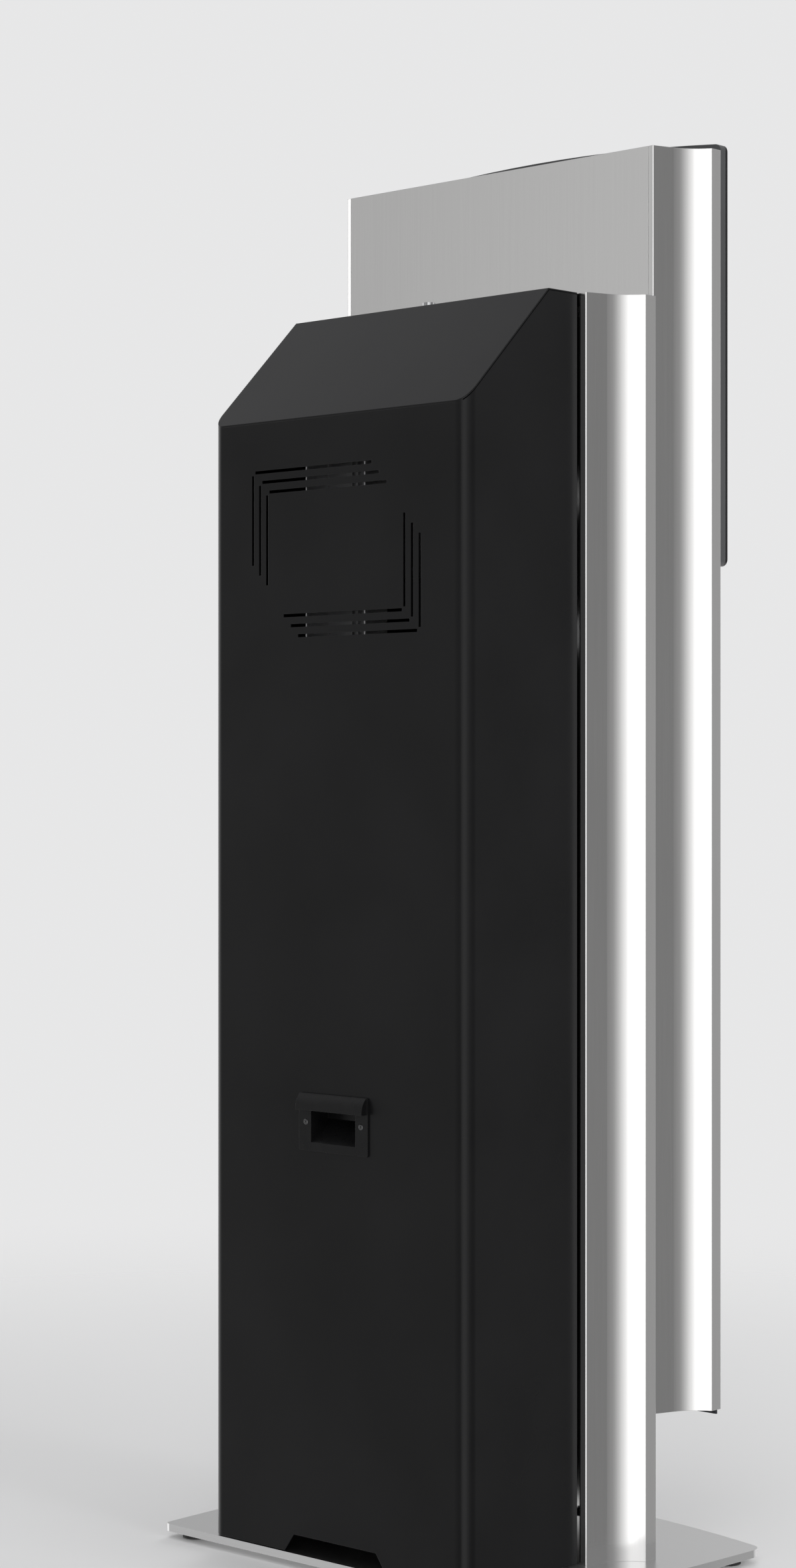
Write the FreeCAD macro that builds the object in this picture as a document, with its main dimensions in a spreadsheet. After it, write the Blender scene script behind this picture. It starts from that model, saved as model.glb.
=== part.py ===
"""Ticket vending machine: a free-standing kiosk with a lockable rear door.

Millimetres, +Z up, the customer stands at -Y and the service door faces +Y.
The origin is on the floor, under the middle of the kiosk's outline.
Depths are measured forward from the door's rear face, heights from the floor.
"""
import FreeCAD
import Part
import Sketcher
import math
import os
from FreeCAD import Rotation, Vector
from types import SimpleNamespace

SIZES = {
    # base
    "foot_height": (8.0, "gap under the base plate"),
    "foot_radius": (15.0, "levelling foot pad"),
    "foot_stem": (4.95, "radius of the levelling stem"),
    "foot_bore": (5.0, "radius of its threaded hole"),
    "foot_engagement": (7.0, "stem inside the plate"),
    "foot_inset": (26.0, "foot centre from the plate's side"),
    "foot_rear_depth": (26.0, "rear feet, from the rear edge"),
    "foot_front_depth": (364.0, "front feet, from the rear edge"),
    "plate_thickness": (9.0, "base plate"),
    "plate_depth": (433.0, "rear edge to the middle of the bowed front"),
    "plate_rear_width": (574.0, "base plate at its rear edge"),
    "plate_front_width": (608.0, "base plate at its front corners"),
    "plate_front_bow": (1217.0, "radius of the front edge"),
    "plate_side_bow": (4800.0, "radius of the side edges"),
    "plate_rear_corner": (10.0, "rear corner rounding"),
    "plate_front_corner": (20.0, "front corner rounding"),
    "anchor_spacing_wide": (300.0, "floor anchors across"),
    "anchor_spacing_deep": (190.0, "floor anchors front to back"),
    "anchor_rear_depth": (55.0, "rear anchors, from the rear edge"),
    "anchor_radius": (6.5, "floor anchor hole"),
    # rear door
    "door_width": (405.0, "outside of the door"),
    "door_depth": (185.5, "rear face to the front edge of the door"),
    "door_corner": (16.0, "outside radius of the vertical corners"),
    "door_wall": (1.5, "door sheet"),
    "door_flange": (14.0, "inward flange on the closing edge"),
    "door_gap": (3.0, "door edge to the column"),
    "door_lift": (1.5, "door to the base plate"),
    "lid_rise": (136.0, "height taken by the slope"),
    "lid_flat": (48.5, "level front part of the lid"),
    "lid_seam": (0.9, "open seam between the lid and the door's sides"),
    "lid_skirt": (12.0, "lid's side flanges inside the door"),
    "body_height": (1437.5, "column and door above the plate"),
    "vent_drop": (290.0, "middle of the vents below the door's top"),
    "vent_slot": (3.6, "slot width"),
    "vent_pitch": (11.8, "slot spacing"),
    "vent_half_width": (133.5, "middle to the outermost upright slot"),
    "vent_half_height": (95.5, "middle to the outermost level slot"),
    "vent_upright": (104.0, "length of an upright slot"),
    "vent_reach": (59.0, "outermost level slot past the middle"),
    "notch_width": (131.0, "cable notch at its top"),
    "notch_height": (22.0, "cable notch"),
    "notch_splay": (16.0, "cable notch, extra half width at the bottom"),
    # column and tower
    "sheet": (1.5, "column and tower sheet"),
    "column_width": (426.0, "column at its rear corners"),
    "column_flange": (40.0, "rear flanges of the column"),
    "column_lip": (18.0, "straight lip of the column"),
    "column_return": (25.0, "front flanges of the column"),
    "tower_width": (491.0, "tower at its rear corners"),
    "tower_strip": (6.5, "visible strip beside the back panel"),
    "tower_seat": (10.0, "least overlap of the tower's strip on the column"),
    "tower_tab": (20.0, "tab behind the back panel"),
    "tower_lip": (16.0, "straight lip of the tower"),
    "tower_bottom": (164.5, "tower's lower end above the plate"),
    "tower_rise": (172.5, "tower's upper end above the column's"),
    "flare_angle": (17.0, "slope of the straight flare, degrees"),
    "flare_run": (27.0, "depth of the straight flare"),
    "cove_radius": (57.0, "hollow curve of the flare"),
    "cove_end": (63.0, "slope at the end of the hollow curve, degrees"),
    "fold_radius": (2.0, "outside radius of the sheet's folds"),
    "back_panel_overlap": (14.0, "back panel below the column's top"),
    "rail_height": (93.0, "upright web of the cross rails"),
    "rail_foot": (28.0, "foot flange of the bottom rail"),
    "cap_drop": (1.0, "cap below the sheet's edge"),
    # front panel and display
    "panel_sheet": (2.5, "front panel"),
    "panel_inset": (4.0, "front panel behind the lips"),
    "panel_drop": (5.0, "front panel below the tower"),
    "panel_overlap": (60.0, "front panel behind the display"),
    "display_drop": (304.7, "display's lower edge below the column's top"),
    "display_rise": (194.5, "middle of the display's bowed top edge above the column's"),
    "display_bow": (2700.0, "radius of the top edge"),
    "display_corner": (8.0, "display corner rounding"),
    "display_frame": (9.0, "display housing"),
    "glass_thickness": (4.0, "front glass"),
    "lcd_width": (531.0, "picture area across"),
    "lcd_height": (299.0, "picture area upright"),
    "lcd_thickness": (6.0, "panel module"),
    "lcd_lift": (100.0, "picture area above the display's lower edge"),
    # hinge and lock
    "hinge_inset": (6.0, "hinge axis from the door's corner, both ways"),
    "hinge_pin": (3.0, "hinge pin radius"),
    "running_gap": (0.05, "radial play of turning fits"),
    "free_gap": (0.5, "play between moving neighbours"),
    "ear_thickness": (4.0, "hinge ears and brackets"),
    "hinge_drop": (24.5, "upper hinge bracket below the door's top"),
    "hinge_lower": (70.0, "lower hinge bracket above the floor"),
    "lock_inset": (29.5, "lock axis behind the door's front edge"),
    "lock_head": (7.4, "lock head radius"),
    "lock_head_height": (6.0, "lock head above the lid"),
    "lock_barrel": (6.5, "lock barrel radius"),
    "lock_plug": (4.5, "turning plug radius"),
    "lock_length": (22.0, "barrel below the lid"),
    "cam_length": (38.0, "lock axis to the cam's tip"),
    "cam_width": (12.0, "cam"),
    "cam_thickness": (2.5, "cam"),
    # pull handle
    "handle_height": (497.0, "handle screws above the plate"),
    "handle_width": (110.0, "handle plate across"),
    "handle_tall": (66.0, "handle plate upright"),
    "handle_plate": (2.0, "handle plate thickness"),
    "handle_hood": (10.0, "hood beyond the rear face"),
    "hood_height": (19.0, "hood, upright"),
    "handle_opening": (71.0, "finger opening across"),
    "handle_recess": (26.0, "finger recess depth"),
    "handle_lip": (9.0, "plate's lower edge to the opening"),
    "handle_pitch": (88.0, "distance between the two screws"),
    # fan
    "fan_size": (92.0, "square fan frame"),
    "fan_depth": (25.0, "fan frame"),
    "fan_offset": (36.0, "fan bracket from the rear face"),
    "fan_bracket_tall": (214.0, "fan bracket"),
    "fan_opening": (43.0, "air way radius"),
    "rotor_radius": (41.0, "fan blades"),
    "rotor_hub": (18.0, "fan hub radius"),
    # ticket printer
    "printer_height": (800.0, "underside of the printer tray"),
    "printer_width": (124.0, "outside of the side plates"),
    "printer_wall": (2.0, "printer plates"),
    "printer_front": (136.5, "front of the printer, past the column's rear face"),
    "roller_radius": (9.0, "platen roller"),
    "roller_shaft": (3.0, "platen shaft"),
    "roller_depth": (101.5, "platen axis, past the column's rear face"),
    "roller_lift": (42.0, "platen axis above the tray"),
    "roll_radius": (70.0, "full paper roll"),
    "roll_width": (108.0, "paper width"),
    "roll_core": (12.5, "roll axle radius"),
    "roll_depth": (80.5, "roll axis, short of the column's rear face"),
    "roll_lift": (88.0, "roll axis above the tray"),
    # customer side
    "tray_width": (180.0, "ticket tray opening across"),
    "tray_height": (96.0, "ticket tray opening upright"),
    "tray_bottom": (700.0, "ticket tray opening above the floor"),
    "tray_depth": (56.0, "ticket tray behind the panel"),
    "tray_wall": (2.0, "tray and coin cup walls"),
    "flap_thickness": (3.0, "ticket flap"),
    "coin_centre": (120.0, "coin side of the front, from the middle"),
    "coin_height": (1060.0, "coin slot above the floor"),
    "cup_width": (76.0, "coin cup opening across"),
    "cup_height": (60.0, "coin cup opening upright"),
    "cup_bottom": (600.0, "coin cup opening above the floor"),
    "cup_depth": (52.0, "coin cup behind the panel"),
    "card_centre": (-120.0, "card side of the front, from the middle"),
    "card_height": (1055.0, "middle of the card terminal"),
    "card_width": (84.0, "card terminal across"),
    "card_tall": (124.0, "card terminal upright"),
    "scan_height": (890.0, "middle of the scanner window"),
    "scan_width": (96.0, "scanner window across"),
    "scan_tall": (56.0, "scanner window upright"),
    "button_radius": (11.0, "help button"),
    "button_height": (1050.0, "help button above the floor"),
    "coin_button": (7.0, "coin return button radius"),
    # inside
    "rocker_tilt": (7.0, "mains switch to either side of level, degrees"),
    "rail_inner": (165.0, "mounting rails from the middle"),
    "rail_wide": (20.0, "mounting rail across"),
    "rail_deep": (30.0, "mounting rail front to back"),
    "rail_sheet": (2.0, "mounting rail sheet"),
}

AXES = {
    "x": Rotation(Vector(0, 1, 0), 90),
    "y": Rotation(Vector(1, 0, 0), -90),
    "z": Rotation(),
}
SIDES = {"left": -1, "right": 1}

doc = FreeCAD.newDocument("TicketVendingMachine")
nodes = []


# ---------------------------------------------------------------- sizes and expressions

class Size:
    """A length that carries its spreadsheet expression and its present value."""

    def __init__(self, text, value):
        self.text = text
        self.value = value

    def joined(self, sign, other, value):
        return Size(f"({self.text} {sign} {other.text})", value)

    def __add__(self, other):
        other = as_size(other)
        return self.joined("+", other, self.value + other.value)

    def __sub__(self, other):
        other = as_size(other)
        return self.joined("-", other, self.value - other.value)

    def __mul__(self, other):
        other = as_size(other)
        return self.joined("*", other, self.value * other.value)

    def __truediv__(self, other):
        other = as_size(other)
        return self.joined("/", other, self.value / other.value)

    def __radd__(self, other):
        return as_size(other) + self

    def __rsub__(self, other):
        return as_size(other) - self

    def __rmul__(self, other):
        return as_size(other) * self

    def __neg__(self):
        return 0 - self


def as_size(number):
    return number if isinstance(number, Size) else Size(f"({float(number)})", float(number))


def root(size):
    return Size(f"sqrt({size.text})", math.sqrt(size.value))


def sine(angle):
    return Size(f"sin({angle.text})", math.sin(math.radians(angle.value)))


def cosine(angle):
    return Size(f"cos({angle.text})", math.cos(math.radians(angle.value)))


def least(first, second):
    return Size(f"min({first.text}; {second.text})", min(first.value, second.value))


def make_sheet():
    """The spreadsheet of driving sizes, one row each: name, value, meaning."""
    cells = doc.addObject("Spreadsheet::Sheet", "Sizes")
    found = {}
    for row, (name, (value, meaning)) in enumerate(SIZES.items(), start=1):
        cells.set(f"A{row}", name)
        cells.set(f"B{row}", str(value))
        cells.set(f"C{row}", meaning)
        cells.setAlias(f"B{row}", name)
        found[name] = Size(f"Sizes.{name}", value)
    doc.recompute()
    return SimpleNamespace(**found)


s = make_sheet()


def bind(thing, name, size):
    thing.setExpression(name, as_size(size).text)


# ---------------------------------------------------------------- shared places

rear = (s.plate_depth - s.handle_hood) / 2
plate_top = s.foot_height + s.plate_thickness
column_rear = s.door_depth + s.door_gap
cove_out = s.cove_radius * (cosine(s.flare_angle) - cosine(s.cove_end))
cove_run = s.cove_radius * (sine(s.cove_end) - sine(s.flare_angle))
flare_tan = sine(s.flare_angle) / cosine(s.flare_angle)
flare_out = s.flare_run * flare_tan + cove_out
tower_rear = column_rear + s.flare_run + cove_run + s.column_lip
tower_front = tower_rear + s.flare_run + cove_run + s.tower_lip
panel_front = tower_front - s.panel_inset
panel_rear = panel_front - s.panel_sheet
body_top = plate_top + s.body_height
tower_low = plate_top + s.tower_bottom
tower_high = body_top + s.tower_rise
display_low = body_top - s.display_drop
display_high = body_top + s.display_rise
hinge_x = s.hinge_inset - s.door_width / 2
hinge_depth = s.door_depth - s.hinge_inset
lid_run = s.door_depth - s.lid_flat
lid_top = body_top
lid_foot = body_top - s.lid_rise
vent_middle = body_top - s.vent_drop
hinge_upper = body_top - s.hinge_drop
lock_y = rear - s.door_depth + s.lock_inset
strip_edge = least(s.tower_width / 2 - s.tower_strip, s.column_width / 2 + flare_out - s.tower_seat)


def depth(near, far):
    """The Y range between two depths behind the customer's side."""
    return (rear - far, rear - near)


def span(middle, width):
    return (middle - width / 2, middle + width / 2)


# ---------------------------------------------------------------- primitives and booleans

def node(thing, name):
    """Keep this object as the sub-part called name."""
    thing.Label = name
    nodes.append(thing)
    return thing


def box(x, y, z):
    block = doc.addObject("Part::Box", "Block")
    for side, letter, (low, high) in zip(("Length", "Width", "Height"), "xyz", (x, y, z)):
        bind(block, side, as_size(high) - low)
        bind(block, f"Placement.Base.{letter}", low)
    return block


def rod(axis, start, radius, length):
    """A cylinder from start, along the positive axis."""
    bar = doc.addObject("Part::Cylinder", "Rod")
    bind(bar, "Radius", radius)
    bind(bar, "Height", length)
    bar.Placement = FreeCAD.Placement(Vector(), AXES[axis])
    for letter, place in zip("xyz", start):
        bind(bar, f"Placement.Base.{letter}", place)
    return bar


def together(pieces):
    """Separate solids in one object."""
    group = doc.addObject("Part::Compound", "Group")
    group.Links = pieces
    return group


def fuse(*pieces):
    union = doc.addObject("Part::MultiFuse", "Union")
    union.Shapes = list(pieces)
    union.Refine = True
    return union


def cut(base, *tools):
    rest = doc.addObject("Part::Cut", "Rest")
    rest.Base = base
    rest.Tool = tools[0] if len(tools) == 1 else together(list(tools))
    rest.Refine = True
    return rest


# ---------------------------------------------------------------- sketches and features

def make_body(name):
    body = doc.addObject("PartDesign::Body", name)
    return node(body, name)


def sketch(body, plane, offset):
    """A sketch on the body's own origin plane, moved along the plane's normal."""
    drawing = body.newObject("Sketcher::SketchObject", "Sketch")
    support = next(f for f in body.Origin.OriginFeatures if f.Role == plane)
    drawing.AttachmentSupport = [(support, "")]
    drawing.MapMode = "FlatFace"
    bind(drawing, "AttachmentOffset.Base.z", offset)
    return drawing


def arc_between(start, end, centre):
    """The short arc from start to end, and which of its ends comes first."""
    first = math.atan2(start.y - centre.y, start.x - centre.x)
    last = math.atan2(end.y - centre.y, end.x - centre.x)
    turn = (last - first) % (2 * math.pi)
    forward = turn < math.pi
    circle = Part.Circle(centre, Vector(0, 0, 1), (start - centre).Length)
    if forward:
        return Part.ArcOfCircle(circle, first, first + turn), True
    return Part.ArcOfCircle(circle, last, last + 2 * math.pi - turn), False


def hold(drawing, geometry, point, place):
    """Tie one point of a sketch to its own X and Y expressions."""
    for kind, size in zip(("DistanceX", "DistanceY"), place):
        size = as_size(size)
        index = drawing.addConstraint(Sketcher.Constraint(kind, -1, 1, geometry, point, size.value))
        drawing.setExpression(f"Constraints[{index}]", size.text)


def outline(drawing, points, arcs=None):
    """A closed outline; arcs maps a point's index to the radius and centre of the arc after it."""
    arcs = arcs or {}
    points = [(as_size(x), as_size(y)) for x, y in points]
    spots = [Vector(x.value, y.value, 0) for x, y in points]
    first = drawing.GeometryCount
    count = len(points)
    ends = []
    for index, start in enumerate(spots):
        end = spots[(index + 1) % count]
        if index in arcs:
            radius, centre = arcs[index]
            curve, forward = arc_between(start, end, Vector(centre[0].value, centre[1].value, 0))
        else:
            curve, forward = Part.LineSegment(start, end), True
        drawing.addGeometry(curve, False)
        ends.append((1, 2) if forward else (2, 1))
    for index in range(count):
        after = (index + 1) % count
        drawing.addConstraint(
            Sketcher.Constraint("Coincident", first + index, ends[index][1], first + after, ends[after][0]))
    for index, place in enumerate(points):
        hold(drawing, first + index, ends[index][0], place)
    for index, (radius, centre) in arcs.items():
        held = drawing.addConstraint(Sketcher.Constraint("Radius", first + index, as_size(radius).value))
        drawing.setExpression(f"Constraints[{held}]", as_size(radius).text)


def frame(drawing, x, z):
    """A rectangle between two ranges."""
    outline(drawing, [(x[0], z[0]), (x[1], z[0]), (x[1], z[1]), (x[0], z[1])])


def ring(drawing, middle, radius):
    """A circle tied to its middle and radius."""
    x, y = (as_size(place) for place in middle)
    radius = as_size(radius)
    index = drawing.addGeometry(Part.Circle(Vector(x.value, y.value, 0), Vector(0, 0, 1), radius.value), False)
    hold(drawing, index, 3, (x, y))
    held = drawing.addConstraint(Sketcher.Constraint("Radius", index, radius.value))
    drawing.setExpression(f"Constraints[{held}]", radius.text)


def pad(body, drawing, length, middle=False):
    feature = body.newObject("PartDesign::Pad", "Pad")
    feature.Profile = drawing
    bind(feature, "Length", length)
    if middle:
        feature.SideType = "Symmetric"
    body.Tip = feature
    return feature


def pocket(body, drawing, length, middle=False, reverse=False):
    """Remove the sketch's area; a pocket that removes nothing is an error."""
    doc.recompute()
    before = body.Tip.Shape.Volume
    feature = body.newObject("PartDesign::Pocket", "Pocket")
    feature.Profile = drawing
    bind(feature, "Length", length)
    feature.Reversed = reverse
    if middle:
        feature.SideType = "Symmetric"
    body.Tip = feature
    doc.recompute()
    if feature.Shape.Volume > before - 0.1:
        raise RuntimeError(f"{body.Label}: a pocket removes nothing")
    return feature


def round_edges(body, radius, direction, places):
    """Fillet the straight edges along a direction that pass through the given places."""
    doc.recompute()
    tip = body.Tip
    shape = tip.Shape
    letters = [letter for letter in "xyz" if letter != direction]
    names = []
    for number, edge in enumerate(shape.Edges, start=1):
        start, end = edge.Vertexes[0].Point, edge.Vertexes[-1].Point
        run = end - start
        if abs(abs(getattr(run, direction)) - run.Length) > 1e-3 or run.Length < 1:
            continue
        spot = [getattr(start, letter) for letter in letters]
        for place in places:
            if all(abs(a - as_size(b).value) < 0.02 for a, b in zip(spot, place)):
                names.append(f"Edge{number}")
    if len(names) < len(places):
        raise RuntimeError(f"{body.Label}: {len(names)} of {len(places)} edges found to round")
    feature = body.newObject("PartDesign::Fillet", "Fillet")
    feature.Base = (tip, names)
    bind(feature, "Radius", radius)
    body.Tip = feature
    return feature


# ---------------------------------------------------------------- base

def make_base_plate():
    body = make_body("base_plate")
    half_rear = s.plate_rear_width / 2
    half_front = s.plate_front_width / 2
    bow_rise = s.plate_front_bow - root(s.plate_front_bow * s.plate_front_bow - half_front * half_front)
    front = rear - s.plate_depth + bow_rise
    step = half_front - half_rear
    run = rear - front
    chord = root(step * step + run * run)
    reach = root(s.plate_side_bow * s.plate_side_bow - chord * chord / 4)
    side_x = (half_front + half_rear) / 2 - reach * run / chord
    side_y = (rear + front) / 2 - reach * step / chord
    drawing = sketch(body, "XY_Plane", s.foot_height)
    points = [(-half_rear, rear), (half_rear, rear), (half_front, front), (-half_front, front)]
    arcs = {
        1: (s.plate_side_bow, (side_x, side_y)),
        2: (s.plate_front_bow, (as_size(0), rear - s.plate_depth + s.plate_front_bow)),
        3: (s.plate_side_bow, (-side_x, side_y)),
    }
    outline(drawing, points, arcs)
    pad(body, drawing, s.plate_thickness)
    round_edges(body, s.plate_rear_corner, "z", points[:2])
    round_edges(body, s.plate_front_corner, "z", points[2:])
    holes = sketch(body, "XY_Plane", plate_top + 1)
    for x in span(as_size(0), s.anchor_spacing_wide):
        for deep in (s.anchor_rear_depth, s.anchor_rear_depth + s.anchor_spacing_deep):
            ring(holes, (x, rear - deep), s.anchor_radius)
    pocket(body, holes, s.plate_thickness + 2)
    threads = sketch(body, "XY_Plane", s.foot_height - 1)
    for _, x, y in foot_places():
        ring(threads, (x, y), s.foot_bore)
    pocket(body, threads, s.foot_engagement + 1 + s.free_gap, reverse=True)
    screws = sketch(body, "XY_Plane", plate_top + 1)
    for x, y in base_screw_places():
        ring(screws, (x, y), as_size(3))
    pocket(body, screws, as_size(7))


def foot_places():
    places = []
    for side, sign in SIDES.items():
        rear_x = sign * (s.plate_rear_width / 2 - s.foot_inset)
        front_x = sign * (s.plate_front_width / 2 - s.foot_inset)
        places.append((f"rear_{side}", rear_x, rear - s.foot_rear_depth))
        places.append((f"front_{side}", front_x, rear - s.foot_front_depth))
    return places


def base_screw_places():
    y = rear - column_rear - s.rail_foot / 2
    return [(x, y) for x in (as_size(-120), as_size(-30), as_size(60), as_size(135))]


def make_feet():
    for name, x, y in foot_places():
        disc = rod("z", (x, y, 0), s.foot_radius, s.foot_height - s.free_gap)
        stem = rod("z", (x, y, s.foot_height - s.free_gap), s.foot_stem, s.foot_engagement + s.free_gap)
        node(fuse(disc, stem), f"foot_{name}")


# ---------------------------------------------------------------- column and tower

def flare_path(side, width, back, lip):
    """Outer and inner corners of the folded side: its straight flare, hollow curve and lip."""
    def spot(out, run):
        return (side * (width / 2 + out), rear - back - run)

    flare_end = s.flare_run * flare_tan
    middle_out = flare_end + s.cove_radius * cosine(s.flare_angle)
    middle_run = s.flare_run - s.cove_radius * sine(s.flare_angle)
    inner_radius = s.cove_radius + s.sheet
    across = middle_out - flare_out + s.sheet
    inner_run = middle_run + root(inner_radius * inner_radius - across * across)
    return SimpleNamespace(
        spot=spot,
        middle=spot(middle_out, middle_run),
        corner=spot(0, 0),
        flare=spot(flare_end, s.flare_run),
        cove=spot(flare_out, s.flare_run + cove_run),
        lip=spot(flare_out, s.flare_run + cove_run + lip),
        lip_run=s.flare_run + cove_run + lip,
        inner_flare=spot(flare_end - s.sheet * cosine(s.flare_angle),
                         s.flare_run + s.sheet * sine(s.flare_angle)),
        inner_cove=spot(flare_out - s.sheet, inner_run),
        inner_radius=inner_radius,
    )


def inner_out(run):
    """How far out the flare's inner face is, at a depth behind the rear corner."""
    return run * flare_tan - s.sheet / cosine(s.flare_angle)


def make_column_side(name, side):
    body = make_body(f"column_side_{name}")
    path = flare_path(side, s.column_width, column_rear, s.column_lip)
    inner = path.spot(inner_out(s.sheet), s.sheet)
    points = [
        path.corner, path.flare, path.cove, path.lip,
        path.spot(flare_out - s.column_return, path.lip_run),
        path.spot(flare_out - s.column_return, path.lip_run - s.sheet),
        path.spot(flare_out - s.sheet, path.lip_run - s.sheet),
        path.inner_cove, path.inner_flare, inner,
        path.spot(-s.column_flange, s.sheet), path.spot(-s.column_flange, 0),
    ]
    drawing = sketch(body, "XY_Plane", plate_top)
    outline(drawing, points, {1: (s.cove_radius, path.middle), 7: (path.inner_radius, path.middle)})
    pad(body, drawing, s.body_height)
    round_edges(body, s.fold_radius, "z", [path.corner])
    round_edges(body, s.fold_radius - s.sheet, "z", [inner])


def make_tower_side(name, side):
    body = make_body(f"tower_side_{name}")
    path = flare_path(side, s.tower_width, tower_rear, s.tower_lip)
    inner = path.spot(inner_out(s.sheet), s.sheet)
    strip = s.tower_width / 2 - strip_edge
    points = [
        path.corner, path.flare, path.cove, path.lip,
        path.spot(flare_out - s.sheet, path.lip_run),
        path.inner_cove, path.inner_flare, inner,
        path.spot(s.sheet - strip, s.sheet),
        path.spot(s.sheet - strip, 2 * s.sheet),
        path.spot(-strip - s.tower_tab, 2 * s.sheet),
        path.spot(-strip - s.tower_tab, s.sheet),
        path.spot(-strip, s.sheet), path.spot(-strip, 0),
    ]
    drawing = sketch(body, "XY_Plane", tower_low)
    outline(drawing, points, {1: (s.cove_radius, path.middle), 5: (path.inner_radius, path.middle)})
    pad(body, drawing, tower_high - tower_low)
    round_edges(body, s.fold_radius, "z", [path.corner])
    round_edges(body, s.fold_radius - s.sheet, "z", [inner])


def make_cap(width, back, lip, first_run, last_run, low):
    """A flat cover that fills the folded sides' outline at one height."""
    body = doc.addObject("PartDesign::Body", "Cap")
    paths = [flare_path(side, width, back, lip) for side in (1, -1)]
    relief = s.fold_radius - s.sheet
    corners = []
    for path in paths:
        corners.append([
            path.spot(inner_out(first_run) - relief, first_run),
            path.spot(inner_out(first_run + relief), first_run + relief),
            path.inner_flare, path.inner_cove, path.spot(flare_out - s.sheet, last_run),
        ])
    drawing = sketch(body, "XY_Plane", low)
    points = corners[0] + corners[1][::-1]
    outline(drawing, points, {
        2: (paths[0].inner_radius, paths[0].middle),
        6: (paths[1].inner_radius, paths[1].middle),
    })
    pad(body, drawing, s.sheet)
    return body


def make_caps():
    reach = s.flare_run + cove_run
    column_cap = make_cap(s.column_width, column_rear, s.column_lip, s.sheet,
                          reach + s.column_lip - s.sheet, body_top - s.cap_drop - s.sheet)
    node(column_cap, "column_cap")
    top = make_cap(s.tower_width, tower_rear, s.tower_lip, 2 * s.sheet,
                   reach + s.tower_lip, tower_high - s.cap_drop - s.sheet)
    bottom = make_cap(s.tower_width, tower_rear, s.tower_lip, 2 * s.sheet,
                      reach + s.tower_lip - s.panel_inset - s.panel_sheet, tower_low + s.cap_drop)
    node(together([top, bottom]), "tower_caps")


def make_back_panel():
    half = strip_edge - s.free_gap
    panel = box((-half, half), depth(tower_rear, tower_rear + s.sheet),
                (body_top - s.back_panel_overlap, tower_high))
    node(panel, "tower_back_panel")


def cam_height():
    """The cam's range of heights."""
    high = lid_top - s.lock_length - s.free_gap
    return (high - s.cam_thickness, high)


def cam_slot(near, far):
    """The room that the turning cam needs in the plates it locks behind."""
    low, high = cam_height()
    return box((-s.cam_width / 2 - 3, s.cam_width * 2 + 3), depth(near, far), (low - 2, high + 2))


def make_cross_rails():
    half = s.column_width / 2 - s.column_flange
    foot = s.rail_inner - 5
    web = depth(column_rear, column_rear + s.sheet)
    shelf = depth(column_rear + s.sheet, column_rear + s.rail_foot)
    high = body_top - s.cap_drop - s.sheet
    low = high - s.rail_height
    top = fuse(box((-half, half), web, (low, high)), box((-foot, foot), shelf, (low, low + s.sheet)))
    node(cut(top, cam_slot(column_rear - 1, column_rear + s.sheet + 1)), "column_top_rail")
    bottom = fuse(
        box((-half, half), web, (plate_top, plate_top + s.rail_height)),
        box((-foot, foot), shelf, (plate_top, plate_top + s.sheet)))
    holes = [rod("z", (x, y, plate_top - 1), as_size(3.3), 4) for x, y in base_screw_places()]
    inlet = inlet_ranges()
    window = box(inlet.x, depth(column_rear - 1, column_rear + s.sheet + 1), inlet.z)
    node(cut(bottom, window, *holes), "column_bottom_rail")


def make_base_screws():
    screws = []
    for x, y in base_screw_places():
        head = rod("z", (x, y, plate_top + s.sheet), as_size(5), 4)
        shank = rod("z", (x, y, plate_top - 5), as_size(3), s.sheet + 6)
        screws.append(fuse(head, shank))
    node(together(screws), "base_screws")


def make_mounting_rails():
    rails = []
    near = column_rear + s.sheet
    high = body_top - 12
    for side in (-1, 1):
        outer = s.rail_inner + s.rail_wide
        whole = box((min_of(side * s.rail_inner, side * outer)), depth(near, near + s.rail_deep),
                    (plate_top, high))
        hollow = box(min_of(side * (s.rail_inner - 1), side * (outer - s.rail_sheet)),
                     depth(near + s.rail_sheet, near + s.rail_deep - s.rail_sheet),
                     (plate_top - 1, high + 1))
        rails.append(cut(whole, hollow))
    node(together(rails), "mounting_rails")


def min_of(first, second):
    """Two places, the lower one first."""
    return (first, second) if first.value < second.value else (second, first)


def make_front_panel():
    body = make_body("tower_front_panel")
    half = s.tower_width / 2 + flare_out - s.sheet
    low = tower_low - s.panel_drop
    high = display_low + s.panel_overlap
    drawing = sketch(body, "XZ_Plane", panel_rear - rear)
    frame(drawing, (-half, half), (low, high))
    pad(body, drawing, s.panel_sheet)
    holes = sketch(body, "XZ_Plane", panel_front + 1 - rear)
    tray = recess_ranges(as_size(0), s.tray_width, s.tray_bottom, s.tray_height)
    cup = recess_ranges(s.coin_centre, s.cup_width, s.cup_bottom, s.cup_height)
    frame(holes, tray.outer_x, tray.outer_z)
    frame(holes, cup.outer_x, cup.outer_z)
    frame(holes, span(s.card_centre, s.card_width), span(s.card_height, s.card_tall))
    frame(holes, span(s.card_centre, s.scan_width), span(s.scan_height, s.scan_tall))
    frame(holes, span(s.coin_centre, as_size(5)), span(s.coin_height + 16, as_size(34)))
    ring(holes, (s.coin_centre, s.coin_height - 26), s.coin_button + s.free_gap)
    ring(holes, (as_size(0), s.button_height), s.button_radius + s.free_gap)
    for column in range(-3, 4):
        for row in range(4):
            ring(holes, (as_size(column * 9), s.button_height - 32 - row * 9), as_size(2.4))
    pocket(body, holes, s.panel_sheet + 2)


def recess_ranges(middle, width, low, height):
    """Inner and outer ranges of a box-shaped recess in the front panel."""
    inner_x = span(middle, width)
    return SimpleNamespace(
        x=inner_x,
        z=(low, low + height),
        outer_x=(inner_x[0] - s.tray_wall, inner_x[1] + s.tray_wall),
        outer_z=(low - s.tray_wall, low + height + s.tray_wall),
    )


# ---------------------------------------------------------------- display

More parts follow.
